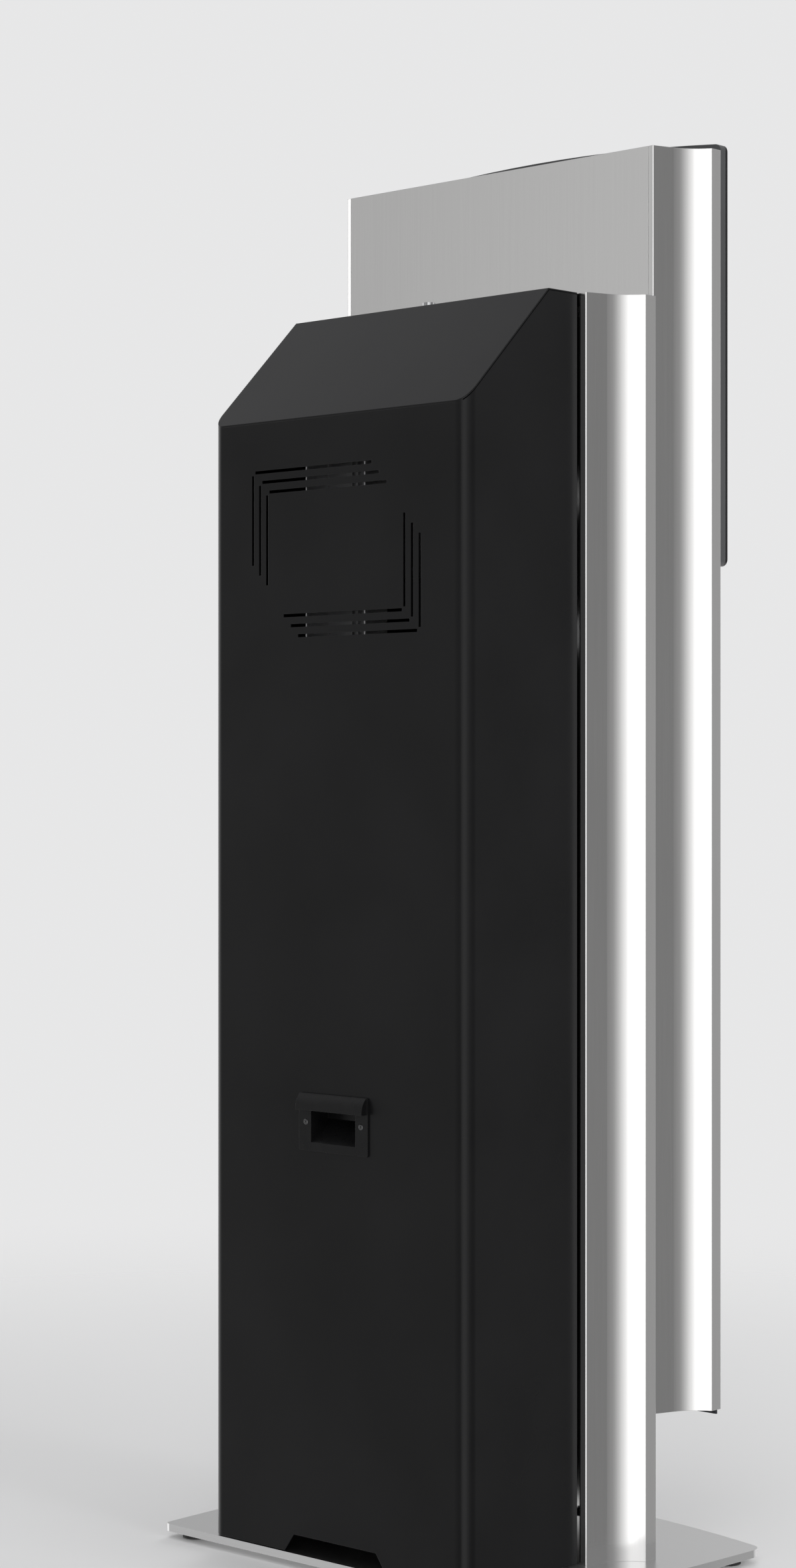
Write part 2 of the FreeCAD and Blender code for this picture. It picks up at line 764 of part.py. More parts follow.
def display_outline(body, start):
    half = s.tower_width / 2 + flare_out
    low = display_low
    crown = display_high
    corner = crown - s.display_bow + root(s.display_bow * s.display_bow - half * half)
    points = [(-half, low), (half, low), (half, corner), (-half, corner)]
    drawing = sketch(body, "XZ_Plane", start - rear)
    outline(drawing, points, {2: (s.display_bow, (as_size(0), crown - s.display_bow))})
    return drawing, points


def make_display():
    housing = make_body("display_housing")
    drawing, corners = display_outline(housing, tower_front)
    pad(housing, drawing, s.display_frame)
    round_edges(housing, s.display_corner, "y", corners)
    face = tower_front + s.display_frame
    low = display_low + s.lcd_lift
    picture_z = (low, low + s.lcd_height)
    well = sketch(housing, "XZ_Plane", face + 1 - rear)
    frame(well, span(as_size(0), s.lcd_width + 2 * s.free_gap), (low - s.free_gap, picture_z[1] + s.free_gap))
    pocket(housing, well, s.lcd_thickness + 1)
    glass = make_body("display_glass")
    drawing, corners = display_outline(glass, face)
    pad(glass, drawing, s.glass_thickness)
    round_edges(glass, s.display_corner, "y", corners)
    node(box(span(as_size(0), s.lcd_width), depth(face - s.lcd_thickness, face), picture_z), "picture_panel")


# ---------------------------------------------------------------- rear door

def lid_offset():
    """The sloping sheet's thickness, measured upright."""
    return s.door_wall * root(lid_run * lid_run + s.lid_rise * s.lid_rise) / lid_run


def lid_under(deep):
    """Height of the slope's underside at a depth."""
    return lid_foot - lid_offset() + deep * s.lid_rise / lid_run


def lid_bend(drop=0, flat_drop=0):
    """Depth where the slope's underside meets the flat top's, each lowered by so much."""
    return (s.lid_rise - s.door_wall - flat_drop + lid_offset() + drop) * lid_run / s.lid_rise


def make_door_shell():
    body = make_body("door_shell")
    half = s.door_width / 2
    inner = half - s.door_wall
    bend = half - s.door_corner
    flange = half - s.door_flange
    low = plate_top + s.door_lift
    plan = [
        (flange, s.door_depth), (half, s.door_depth), (half, s.door_corner), (bend, as_size(0)),
        (-bend, as_size(0)), (-half, s.door_corner), (-half, s.door_depth), (-inner, s.door_depth),
        (-inner, s.door_corner), (-bend, s.door_wall), (bend, s.door_wall), (inner, s.door_corner),
        (inner, s.door_depth - s.door_wall), (flange, s.door_depth - s.door_wall),
    ]
    right = (bend, rear - s.door_corner)
    left = (-bend, rear - s.door_corner)
    inside = s.door_corner - s.door_wall
    drawing = sketch(body, "XY_Plane", low)
    outline(drawing, [(x, rear - deep) for x, deep in plan], {
        2: (s.door_corner, right), 4: (s.door_corner, left), 8: (inside, left), 10: (inside, right),
    })
    pad(body, drawing, lid_top - low)
    cut_slope(body)
    cut_vents(body)
    openings = sketch(body, "XZ_Plane", s.door_wall + 1 - rear)
    recess = handle_ranges()
    frame(openings, (recess.cup_x[0] - s.free_gap, recess.cup_x[1] + s.free_gap),
          (recess.cup_z[0] - s.free_gap, recess.cup_z[1] + s.free_gap))
    for x in span(as_size(0), s.handle_pitch):
        ring(openings, (x, recess.middle), as_size(2.5))
    notch = s.notch_width / 2
    outline(openings, [
        (-notch - s.notch_splay, low - 1), (notch + s.notch_splay, low - 1),
        (notch, plate_top + s.notch_height), (-notch, plate_top + s.notch_height),
    ])
    pocket(body, openings, s.door_wall + 2)


def cut_slope(body):
    """Cut the folded shell under the lid: it meets the rear wall and leaves a seam beside the sides."""
    beyond = as_size(5)
    meeting = 2 * s.door_wall
    drop = s.lid_seam * lid_offset() / s.door_wall
    low = lid_top - s.door_wall - s.lid_seam
    profile = [
        (-beyond, lid_under(-beyond)),
        (meeting, lid_under(meeting)),
        (meeting, lid_under(meeting) - drop),
        (lid_bend(drop, s.lid_seam), low),
        (s.door_depth + beyond, low),
        (s.door_depth + beyond, lid_top + beyond),
        (-beyond, lid_top + beyond),
    ]
    drawing = sketch(body, "YZ_Plane", 0)
    outline(drawing, [(rear - deep, z) for deep, z in profile])
    pocket(body, drawing, s.door_width + 10, middle=True)


def cut_vents(body):
    """Nested upright and level slots in one corner, repeated half a turn away."""
    drawing = sketch(body, "XZ_Plane", s.door_wall + 1 - rear)
    for turn in (1, -1):
        for index in range(3):
            shift = s.vent_pitch * index
            edge = s.vent_half_width - shift
            level = s.vent_half_height - shift
            upright_x = span(turn * edge, s.vent_slot)
            top = vent_middle + turn * (level - s.vent_slot)
            foot = vent_middle + turn * (level - s.vent_slot - s.vent_upright)
            frame(drawing, upright_x, min_of(foot, top))
            start = turn * (edge - s.vent_slot)
            finish = -turn * (s.vent_reach + shift)
            frame(drawing, min_of(finish, start), span(vent_middle + turn * level, s.vent_slot))
    pocket(body, drawing, s.door_wall + 2)


def make_lid():
    body = make_body("door_lid")
    under = lid_top - s.door_wall
    profile = [
        (as_size(0), lid_foot), (lid_run, lid_top), (s.door_depth, lid_top),
        (s.door_depth, under), (lid_bend(), under), (as_size(0), lid_under(0)),
    ]
    drawing = sketch(body, "YZ_Plane", 0)
    outline(drawing, [(rear - deep, z) for deep, z in profile])
    pad(body, drawing, s.door_width, middle=True)
    first = s.door_corner + 1
    last = s.door_depth - 2 * s.door_wall
    skirt = [
        (first, lid_under(first)), (lid_bend(), under), (last, under), (last, under - s.lid_skirt),
        (lid_bend(), under - s.lid_skirt), (first, lid_under(first) - s.lid_skirt),
    ]
    for start in (s.door_width / 2 - 2 * s.door_wall, s.door_wall - s.door_width / 2):
        side = sketch(body, "YZ_Plane", start)
        outline(side, [(rear - deep, z) for deep, z in skirt])
        pad(body, side, s.door_wall)
    fold = sketch(body, "XZ_Plane", s.door_depth - s.door_wall - rear)
    half = s.door_width / 2 - s.door_flange - 3
    frame(fold, (-half, half), (lid_top - s.door_flange, lid_top - s.door_wall))
    pad(body, fold, s.door_wall)
    trim = sketch(body, "XY_Plane", lid_top + 1)
    for side in (1, -1):
        edge = side * s.door_width / 2
        bend = side * (s.door_width / 2 - s.door_corner)
        outline(trim, [
            (edge + side, rear + 1), (edge + side, rear - s.door_corner), (edge, rear - s.door_corner),
            (bend, rear), (bend, rear + 1),
        ], {2: (s.door_corner, (bend, rear - s.door_corner))})
    ring(trim, (as_size(0), lock_y), s.lock_barrel)
    pocket(body, trim, lid_top - lid_foot + 20)


def handle_ranges():
    middle = plate_top + s.handle_height
    low = middle - s.handle_tall / 2
    high = middle + s.handle_tall / 2
    wall = s.handle_plate
    half = s.handle_opening / 2 + wall
    return SimpleNamespace(
        middle=middle, low=low, high=high,
        cup_x=(-half, half),
        cup_z=(low + s.handle_lip - wall, high - wall - 1),
    )


def make_handle():
    body = make_body("pull_handle")
    place = handle_ranges()
    half = s.handle_width / 2
    hood_low = place.high - s.hood_height
    plate = sketch(body, "XZ_Plane", -s.handle_plate - rear)
    frame(plate, (-half, half), (place.low, place.high))
    pad(body, plate, s.handle_plate)
    round_edges(body, s.handle_plate, "y",
                [(x, z) for x in (-half, half) for z in (place.low, place.high)])
    hood = sketch(body, "YZ_Plane", 0)
    curve = s.hood_height - 2
    reach = s.handle_hood - s.handle_plate
    radius = (curve * curve + reach * reach) / (2 * reach)
    outline(hood, [
        (rear, hood_low), (rear + s.handle_hood, hood_low), (rear + s.handle_hood, hood_low + 2),
        (rear + s.handle_plate, place.high), (rear, place.high),
    ], {2: (radius, (rear + s.handle_hood - radius, hood_low + 2))})
    pad(body, hood, s.handle_width - 4, middle=True)
    cup = sketch(body, "XZ_Plane", -rear)
    frame(cup, place.cup_x, place.cup_z)
    pad(body, cup, s.handle_recess + s.handle_plate)
    floor = place.low + s.handle_lip
    ceiling = place.high - s.handle_plate - 3
    wall = s.handle_plate
    inside = [
        (-wall - 1, floor), (s.handle_recess, floor + s.handle_recess), (s.handle_recess, ceiling),
        (as_size(0), ceiling), (wall - s.handle_hood, hood_low + 6), (wall - s.handle_hood, hood_low - 1),
        (-wall - 1, hood_low - 1),
    ]
    cavity = sketch(body, "YZ_Plane", 0)
    outline(cavity, [(rear - deep, z) for deep, z in inside])
    pocket(body, cavity, s.handle_opening, middle=True)
    holes = sketch(body, "XZ_Plane", -rear + 1)
    for x in span(as_size(0), s.handle_pitch):
        ring(holes, (x, place.middle), as_size(2))
    pocket(body, holes, s.handle_plate + 3)
    screws = []
    for x in span(as_size(0), s.handle_pitch):
        head = rod("y", (x, rear + s.handle_plate, place.middle), as_size(3.6), 1.8)
        shank = rod("y", (x, rear - 8, place.middle), as_size(2), s.handle_plate + 8.5)
        screws.append(fuse(head, shank))
    node(together(screws), "handle_screws")


def make_hinges():
    brackets = []
    pins = []
    ears = []
    y = rear - hinge_depth
    arm = s.ear_thickness
    gap = s.free_gap / 2
    for low in (s.hinge_lower, hinge_upper):
        high = low + s.ear_thickness
        eye = rod("z", (hinge_x, y, low), arm, s.ear_thickness)
        reach = box((hinge_x, hinge_x + 22), (y - arm, y + arm), (low, high))
        root_plate = box((hinge_x + 9, hinge_x + 22), (rear - column_rear, y), (low, high))
        bore = rod("z", (hinge_x, y, low - 1), s.hinge_pin, s.ear_thickness + 2)
        brackets.append(cut(fuse(eye, reach, root_plate), bore))
        pins.append(rod("z", (hinge_x, y, low), s.hinge_pin, 2 * s.ear_thickness + gap + 2))
        ear = box((s.door_wall - s.door_width / 2, hinge_x + s.ear_thickness + 0.5),
                  (y - s.ear_thickness - 1, y + s.ear_thickness + 1),
                  (high + gap, high + gap + s.ear_thickness))
        hole = rod("z", (hinge_x, y, high), s.hinge_pin + s.running_gap, s.ear_thickness + 2)
        ears.append(cut(ear, hole))
    node(together(brackets), "hinge_brackets")
    node(together(pins), "hinge_pins")
    node(together(ears), "door_hinge_ears")


def make_lock():
    low = lid_top - s.lock_length
    head = rod("z", (0, lock_y, lid_top), s.lock_head, s.lock_head_height)
    barrel = rod("z", (0, lock_y, low), s.lock_barrel, s.lock_length)
    nut = rod("z", (0, lock_y, lid_top - s.door_wall - 4), s.lock_head + 3, 4)
    bore = rod("z", (0, lock_y, low - 1), s.lock_plug + s.running_gap, s.lock_length + s.lock_head_height + 2)
    node(cut(fuse(head, barrel, nut), bore), "lock_body")
    cam_low, cam_high = cam_height()
    plug_top = lid_top + s.lock_head_height - 0.6
    plug = fuse(
        rod("z", (0, lock_y, cam_low), s.lock_plug, plug_top - cam_low),
        rod("z", (0, lock_y, cam_low - 3), s.lock_plug + 2, 3))
    keyway = box((-3, 3), (lock_y - 0.8, lock_y + 0.8), (plug_top - 4, plug_top + 1))
    node(cut(plug, keyway), "lock_plug")
    half = s.cam_width / 2
    arm = fuse(
        rod("z", (0, lock_y, cam_low), half + 1.5, s.cam_thickness),
        box((0, s.cam_length), (lock_y - half, lock_y + half), (cam_low, cam_high)))
    node(cut(arm, rod("z", (0, lock_y, cam_low - 1), s.lock_plug, s.cam_thickness + 2)), "lock_cam")
    back = column_rear + s.sheet
    keeper = box((-25, 42), depth(back, back + 2.5), (cam_low - 14, cam_high + 10))
    node(cut(keeper, cam_slot(back - 1, back + 3.5)), "lock_keeper")


def make_seal():
    body = make_body("door_seal")
    drawing = sketch(body, "XZ_Plane", s.door_depth + s.free_gap - rear)
    outer = s.door_width / 2 - s.free_gap * 4
    inner = outer - 11
    high = body_top - 2
    outline(drawing, [
        (inner, plate_top + 4), (outer, plate_top + 4), (outer, high), (inner - s.column_width * 0.8, high),
        (inner - s.column_width * 0.8, high - 9), (inner, high - 9),
    ])
    pad(body, drawing, s.door_gap - s.free_gap)


def make_fan():
    half = s.fan_size / 2
    wall = s.door_wall
    near = s.door_wall
    web = s.fan_offset
    z = span(vent_middle, s.fan_bracket_tall)
    channel = cut(
        box((-half - wall, half + wall), depth(near, web + wall), z),
        box((-half, half), depth(near - 1, web), (z[0] - 1, z[1] + 1)))
    way = rod("y", (0, rear - web - wall - 1, vent_middle), s.fan_opening, wall + 2)
    ribs = []
    for x in ((-6, -3), (3, 6)):
        for rib_z in ((z[0], vent_middle - s.fan_opening - 4), (vent_middle + s.fan_opening + 4, z[1])):
            ribs.append(box(x, depth(web - 4, web), rib_z))
    node(fuse(cut(channel, way), *ribs), "fan_bracket")
    start = web + wall
    housing = box((-half, half), depth(start, start + s.fan_depth), span(vent_middle, s.fan_size))
    bore = rod("y", (0, rear - start - s.fan_depth - 1, vent_middle), s.fan_opening, s.fan_depth + 2)
    strut_depth = depth(start + s.fan_depth - 3, start + s.fan_depth)
    hub_mount = rod("y", (0, strut_depth[0], vent_middle), s.rotor_hub, 3)
    struts = [
        box((-s.fan_opening - 1, s.fan_opening + 1), strut_depth, span(vent_middle, as_size(4))),
        box((-2, 2), strut_depth, span(vent_middle, 2 * s.fan_opening + 2)),
    ]
    socket = rod("y", (0, strut_depth[0] - 1, vent_middle), 2 + s.running_gap, 5)
    node(cut(fuse(cut(housing, bore), hub_mount, *struts), socket), "fan_frame")
    make_rotor(start)


def make_rotor(start):
    """A hub with seven tilted blades and a spindle."""
    near = start + 2
    length = s.fan_depth - 3 - 3
    hub = rod("y", (0, rear - near - length, vent_middle), s.rotor_hub, length)
    spindle = rod("y", (0, rear - start - s.fan_depth, vent_middle), as_size(2), s.fan_depth - 4)
    pieces = [hub, spindle]
    blades = 7
    for index in range(blades):
        blade = doc.addObject("Part::Box", "Blade")
        bind(blade, "Length", as_size(2))
        bind(blade, "Width", length - 2)
        bind(blade, "Height", s.rotor_radius)
        tilt = Rotation(Vector(0, 0, 1), 28)
        turn = Rotation(Vector(0, 1, 0), index * 360 / blades)
        blade.Placement = FreeCAD.Placement(Vector(), turn * tilt)
        bind(blade, "Placement.Base.y", rear - near - length + 2)
        bind(blade, "Placement.Base.z", vent_middle)
        pieces.append(blade)
    whole = fuse(*pieces)
    limit = rod("y", (0, rear - start - s.fan_depth, vent_middle), s.rotor_radius, s.fan_depth - 1)
    common = doc.addObject("Part::MultiCommon", "Trimmed")
    common.Shapes = [whole, limit]
    common.Refine = True
    node(common, "fan_rotor")


# ---------------------------------------------------------------- ticket printer

def make_printer():
    half = s.printer_width / 2
    wall = s.printer_wall
    low = s.printer_height
    floor = low + wall
    back = column_rear + s.sheet + s.rail_deep
    front = column_rear + s.printer_front
    roll_depth = column_rear - s.roll_depth
    roller = (rear - column_rear - s.roller_depth, low + s.roller_lift)
    roll = (rear - roll_depth, low + s.roll_lift)
    pivot = (rear - back + 12, low + 68)
    pieces = [
        box((-half, half), depth(back - 28, front), (low, floor)),
        box((-s.rail_inner, s.rail_inner), depth(back - s.rail_sheet, back), (low - 30, low)),
    ]
    for side in (-1, 1):
        x = min_of(side * (half - wall), side * half)
        pieces.append(box(x, depth(roll_depth - 14, front), (floor, low + 50)))
        pieces.append(box(x, depth(roll_depth - 14, roll_depth + 14), (floor, roll[1] + 14)))
        pieces.append(box(x, depth(back - 28, front), (floor, low + 78)))
    bores = [
        rod("x", (-half - 1, roller[0], roller[1]), s.roller_shaft + s.running_gap, s.printer_width + 2),
        rod("x", (-half - 1, roll[0], roll[1]), as_size(6), s.printer_width + 2),
        rod("x", (-half - 1, pivot[0], pivot[1]), 2.5 + s.running_gap, s.printer_width + 2),
    ]
    node(cut(fuse(*pieces), *bores), "printer_frame")
    inside = half - wall
    node(fuse(
        rod("x", (-inside + 1, roller[0], roller[1]), s.roller_radius, 2 * inside - 2),
        rod("x", (-half, roller[0], roller[1]), s.roller_shaft, s.printer_width)), "platen_roller")
    node(fuse(
        rod("x", (-inside, roll[0], roll[1]), s.roll_core, 2 * inside),
        rod("x", (-half, roll[0], roll[1]), as_size(6), s.printer_width)), "roll_axle")
    spool = rod("x", (-s.roll_width / 2, roll[0], roll[1]), s.roll_radius, s.roll_width)
    core = rod("x", (-s.roll_width / 2 - 1, roll[0], roll[1]), s.roll_core + s.running_gap, s.roll_width + 2)
    node(cut(spool, core), "paper_roll")
    head_low = roller[1] + s.roller_radius + s.free_gap
    node(fuse(
        box((-s.roll_width / 2, s.roll_width / 2), (roller[0] - 6, roller[0] + 8), (head_low, head_low + 8)),
        box((-inside, inside), (roller[0] - 4, roller[0] + 6), (head_low + 8, head_low + 13))), "print_head")
    blade_y = (roller[0] - s.roller_radius - 18, roller[0] - s.roller_radius - 4)
    mouth = span(head_low - s.free_gap, as_size(5))
    node(cut(
        box((-inside, inside), blade_y, (head_low - 14, head_low + 14)),
        box((-inside + 3, inside - 3), (blade_y[0] - 1, blade_y[1] + 1), mouth)), "cutter")
    node(box((-half - 32, -half), (roller[0] - 4, roller[0] + 32), (floor, floor + 36)), "printer_motor")
    cover_half = inside - s.free_gap
    top = low + 75
    studs = []
    for side in (-1, 1):
        studs.append(rod("x", (min_of(side * cover_half, side * half)[0], pivot[0], pivot[1]),
                         as_size(2.5), half - cover_half))
        studs.append(box(min_of(side * (cover_half - 2), side * cover_half), (pivot[0] - 6, pivot[0] + 6),
                         (pivot[1] - 6, top)))
    node(fuse(box((-cover_half, cover_half), (rear - front + 4, pivot[0] + 6), (top, top + 2)),
              *studs), "printer_cover")


# ---------------------------------------------------------------- customer side

def make_recess(place, deep):
    """A box-shaped recess with a trim ring on the front panel."""
    back = panel_front - deep
    ring_x = (place.outer_x[0] - 8, place.outer_x[1] + 8)
    ring_z = (place.outer_z[0] - 8, place.outer_z[1] + 8)
    shell = fuse(
        box(place.outer_x, depth(back, panel_front), place.outer_z),
        box(ring_x, depth(panel_front, panel_front + 2), ring_z))
    hollow = box(place.x, depth(back + s.tray_wall, panel_front + 3), place.z)
    pivot_y = rear - panel_front + 5
    pivot_z = place.z[1] - 5
    bore = rod("x", (place.outer_x[0] - 1, pivot_y, pivot_z), 2 + s.running_gap,
               place.outer_x[1] - place.outer_x[0] + 2)
    return cut(shell, hollow, bore)


def make_flap(name, place):
    """A flap hung on two studs just below the recess's ceiling."""
    pivot_y = rear - panel_front + 5
    pivot_z = place.z[1] - 5
    x = (place.x[0] + s.free_gap, place.x[1] - s.free_gap)
    half = s.flap_thickness / 2
    plate = box(x, (pivot_y - half, pivot_y + half), (place.z[0] + 1, pivot_z + 2.5))
    stud = rod("x", (place.outer_x[0], pivot_y, pivot_z), as_size(2), place.outer_x[1] - place.outer_x[0])
    node(fuse(plate, stud), name)


def make_tray():
    place = recess_ranges(as_size(0), s.tray_width, s.tray_bottom, s.tray_height)
    tray = make_recess(place, s.tray_depth)
    slot = box((-s.roll_width / 2 - 3, s.roll_width / 2 + 3),
               depth(panel_rear - 20, panel_rear - 8), (place.z[1] - 1, place.outer_z[1] + 1))
    node(cut(tray, slot), "ticket_tray")
    make_flap("ticket_flap", place)


def make_coin_side():
    place = recess_ranges(s.coin_centre, s.cup_width, s.cup_bottom, s.cup_height)
    deep = depth(panel_rear - 34, panel_rear - 10)
    duct_x = span(s.coin_centre, as_size(36))
    duct_z = (place.outer_z[1], s.coin_height - 50)
    wall = s.tray_wall
    way = box((duct_x[0] + wall, duct_x[1] - wall), (deep[0] + wall, deep[1] - wall),
              (place.z[1] - 1, duct_z[1] + 1))
    node(cut(make_recess(place, s.cup_depth), way), "coin_cup")
    node(cut(box(duct_x, deep, duct_z), way), "coin_duct")
    make_flap("coin_flap", place)
    unit_x = span(s.coin_centre, as_size(88))
    unit_z = span(s.coin_height, as_size(100))
    unit = [box(unit_x, depth(tower_rear + 8, panel_rear - 12), unit_z)]
    for x in (unit_x[0], unit_x[1] - 10):
        for z in (unit_z[0], unit_z[1] - 10):
            unit.append(box((x, x + 10), depth(panel_rear - 12, panel_rear), (z, z + 10)))
    outlet = box((duct_x[0] + wall, duct_x[1] - wall), (deep[0] + wall, deep[1] - wall),
                 (unit_z[0] - 1, unit_z[0] + 12))
    node(cut(fuse(*unit), outlet), "coin_acceptor")
    bezel = box(span(s.coin_centre, as_size(56)), depth(panel_front, panel_front + 7), unit_z)
    button = (s.coin_centre, s.coin_height - 26)
    node(cut(bezel,
             box(span(s.coin_centre, as_size(4)), depth(panel_front - 1, panel_front + 8),
                 span(s.coin_height + 16, as_size(30))),
             rod("y", (button[0], rear - panel_front - 8, button[1]), s.coin_button + s.free_gap, 9)),
         "coin_bezel")
    make_button("coin_button", button, s.coin_button, 9)
    make_button("help_button", (as_size(0), s.button_height), s.button_radius, 4)
    make_coin_box()


def make_button(name, place, radius, proud):
    """A push button with a collar that holds it behind the front panel."""
    x, z = place
    front = rear - panel_front - proud
    cap = rod("y", (x, front, z), radius, s.panel_sheet + proud + 1)
    collar = rod("y", (x, rear - panel_rear + s.free_gap, z), radius + 2, 2)
    node(fuse(cap, collar), name)


def make_coin_box():
    low = tower_low + s.cap_drop + s.sheet
    x = (as_size(40), as_size(150))
    y = depth(column_rear + s.sheet + s.rail_deep + 34, panel_rear - 8)
    z = (low, low + 110)
    wall = 2
    inside = [(low + wall, high - wall) for low, high in (x, y, z)]
    shell = cut(box(x, y, z), box(*inside))
    slot = box((x[0] + 40, x[1] - 40), (y[0] + 20, y[0] + 40), (z[1] - 3, z[1] + 1))
    grip = fuse(
        box((x[0] + 25, x[1] - 25), (y[1] + 10, y[1] + 16), (z[0] + 60, z[0] + 68)),
        box((x[0] + 25, x[0] + 32), (y[1], y[1] + 12), (z[0] + 60, z[0] + 68)),
        box((x[1] - 32, x[1] - 25), (y[1], y[1] + 12), (z[0] + 60, z[0] + 68)))
    node(fuse(cut(shell, slot), grip), "coin_box")


def make_card_side():
    x = span(s.card_centre, s.card_width)
    z = span(s.card_height, s.card_tall)
    terminal = box(x, depth(panel_rear - 36, panel_front + 5), z)
    slot = box((x[0] + 13, x[1] - 13), depth(panel_front - 24, panel_front + 6), (z[0] + 14, z[0] + 17))
    node(cut(terminal, slot), "card_terminal")
    wide = span(s.card_centre, s.scan_width)
    tall = span(s.scan_height, s.scan_tall)
    node(box(wide, depth(panel_rear, panel_front), tall), "scanner_window")
    outer = box((wide[0] - 6, wide[1] + 6), depth(panel_rear - 48, panel_rear), (tall[0] - 6, tall[1] + 6))
    hollow = box(wide, depth(panel_rear - 30, panel_rear + 1), tall)
    node(cut(outer, hollow), "scanner_body")


# ---------------------------------------------------------------- computer and power

def make_computer():
    near = column_rear + s.sheet
    back = near + s.rail_deep
    z = (body_top - 310, body_top - 100)
    case = box((-112, 112), depth(back - 16, back + 34), z)
    ears = box((-s.rail_inner, s.rail_inner), depth(back - s.rail_sheet, back), (z[0] + 20, z[1] - 20))
    grooves = []
    for index in range(9):
        x = -96 + index * 24
        grooves.append(box((x - 4, x + 4), depth(back - 17, back - 6), (z[0] + 15, z[1] - 15)))
    node(cut(fuse(case, ears), *grooves), "computer")
    low = plate_top + 118
    supply = box((-105, 105), depth(back - 20, back + 30), (low, low + 70))
    plate = box((-s.rail_inner, s.rail_inner), depth(back - s.rail_sheet, back), (low - 12, low + 82))
    node(fuse(supply, plate), "power_supply")


def inlet_ranges():
    return SimpleNamespace(x=(as_size(-76), as_size(-48)), z=(plate_top + 32, plate_top + 80))


def make_inlet():
    place = inlet_ranges()
    x, z = place.x, place.z
    flange = box((x[0] - 6, x[1] + 6), depth(column_rear - 2, column_rear), (z[0] - 3, z[1] + 3))
    block = box(x, depth(column_rear, column_rear + 34), z)
    socket = box((x[0] + 3, x[1] - 3), depth(column_rear - 3, column_rear + 15), (z[0] + 3, z[0] + 22))
    well = box((x[0] + 4, x[1] - 4), depth(column_rear - 3, column_rear + 8), (z[1] - 17, z[1] - 3))
    axle = (x[0] + 2, rear - column_rear - 1, z[1] - 10)
    axle_length = x[1] - x[0] - 4
    bearing = rod("x", (axle[0] - s.free_gap, *axle[1:]), 1.5 + s.running_gap, axle_length + 2 * s.free_gap)
    node(cut(fuse(flange, block), socket, well, bearing), "mains_inlet")
    make_rocker(axle, axle_length)


def make_rocker(axle, axle_length):
    """The mains switch's rocker, tipped to one end of its travel."""
    half_deep = 3
    half_tall = 5.8
    rocker = doc.addObject("Part::Box", "Rocker")
    bind(rocker, "Length", axle_length - 2 * (2 + s.free_gap))
    bind(rocker, "Width", 2 * half_deep)
    bind(rocker, "Height", 2 * half_tall)
    rocker.Placement = FreeCAD.Placement(Vector(), Rotation(Vector(1, 0, 0), s.rocker_tilt.value))
    slant, upright = sine(s.rocker_tilt), cosine(s.rocker_tilt)
    bind(rocker, "Placement.Base.x", axle[0] + 2 + s.free_gap)
    bind(rocker, "Placement.Base.y", axle[1] - half_deep * upright + half_tall * slant)
    bind(rocker, "Placement.Base.z", axle[2] - half_deep * slant - half_tall * upright)
    node(fuse(rocker, rod("x", axle, as_size(1.5), axle_length)), "switch_rocker")


# ---------------------------------------------------------------- whole machine

def make_machine():
    make_base_plate()
    make_feet()
    for name, side in SIDES.items():
        make_column_side(name, side)
        make_tower_side(name, side)
    make_caps()
    make_back_panel()
    make_cross_rails()
    make_base_screws()
    make_mounting_rails()
    make_front_panel()
    make_display()
    make_door_shell()
    make_lid()
    make_handle()
    make_hinges()
    make_lock()
    make_seal()
    make_fan()
    make_printer()
    make_tray()
    make_coin_side()
    make_card_side()
    make_computer()
    make_inlet()


def check_and_write():
    doc.recompute()
    faults = [thing.Label for thing in doc.Objects if {"Invalid", "Error"} & set(thing.State)]
    for thing in nodes:
        if thing.Shape.isNull() or not thing.Shape.isValid() or not thing.Shape.Solids:
            faults.append(f"{thing.Label} has no valid solid")
    if faults:
        raise RuntimeError("; ".join(faults))
    os.makedirs("parts", exist_ok=True)
    for thing in nodes:
        thing.Shape.exportStep(f"parts/{thing.Label}.step")
    print(len(nodes), "parts written")


make_machine()
check_and_write()
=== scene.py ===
"""Looks of the ticket vending machine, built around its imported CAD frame."""
import math

import bmesh
import bpy
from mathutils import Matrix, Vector


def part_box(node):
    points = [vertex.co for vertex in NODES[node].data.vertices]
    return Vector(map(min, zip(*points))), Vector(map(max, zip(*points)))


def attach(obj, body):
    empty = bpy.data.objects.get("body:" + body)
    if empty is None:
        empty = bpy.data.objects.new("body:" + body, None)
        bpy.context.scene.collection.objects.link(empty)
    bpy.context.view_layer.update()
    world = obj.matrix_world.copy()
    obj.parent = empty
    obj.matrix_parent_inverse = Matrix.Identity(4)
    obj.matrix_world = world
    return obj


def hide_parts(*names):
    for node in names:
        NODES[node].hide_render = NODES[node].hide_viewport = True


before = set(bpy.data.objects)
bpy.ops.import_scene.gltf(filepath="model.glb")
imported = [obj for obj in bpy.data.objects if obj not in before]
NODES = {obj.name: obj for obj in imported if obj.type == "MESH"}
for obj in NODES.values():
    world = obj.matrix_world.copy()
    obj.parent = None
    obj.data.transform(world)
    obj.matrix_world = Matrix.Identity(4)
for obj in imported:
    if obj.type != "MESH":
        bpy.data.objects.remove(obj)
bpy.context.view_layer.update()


# ---------------------------------------------------------------- camera, light and floor

CAMERA_PLACE = (-2.5815, 2.7847, 0.901)
CAMERA_LOOKS = (0.6943, -0.7197)


def make_camera():
    data = bpy.data.cameras.new("Camera")
    data.lens = 73.9
    data.sensor_width = 36.0
    data.clip_end = 200.0
    data.shift_x = 0.0005
    data.shift_y = -0.001
    camera = bpy.data.objects.new("Camera", data)
    camera.location = CAMERA_PLACE
    camera.rotation_euler = (math.pi / 2, 0.0, math.atan2(-CAMERA_LOOKS[0], CAMERA_LOOKS[1]))
    bpy.context.scene.collection.objects.link(camera)
    bpy.context.scene.camera = camera


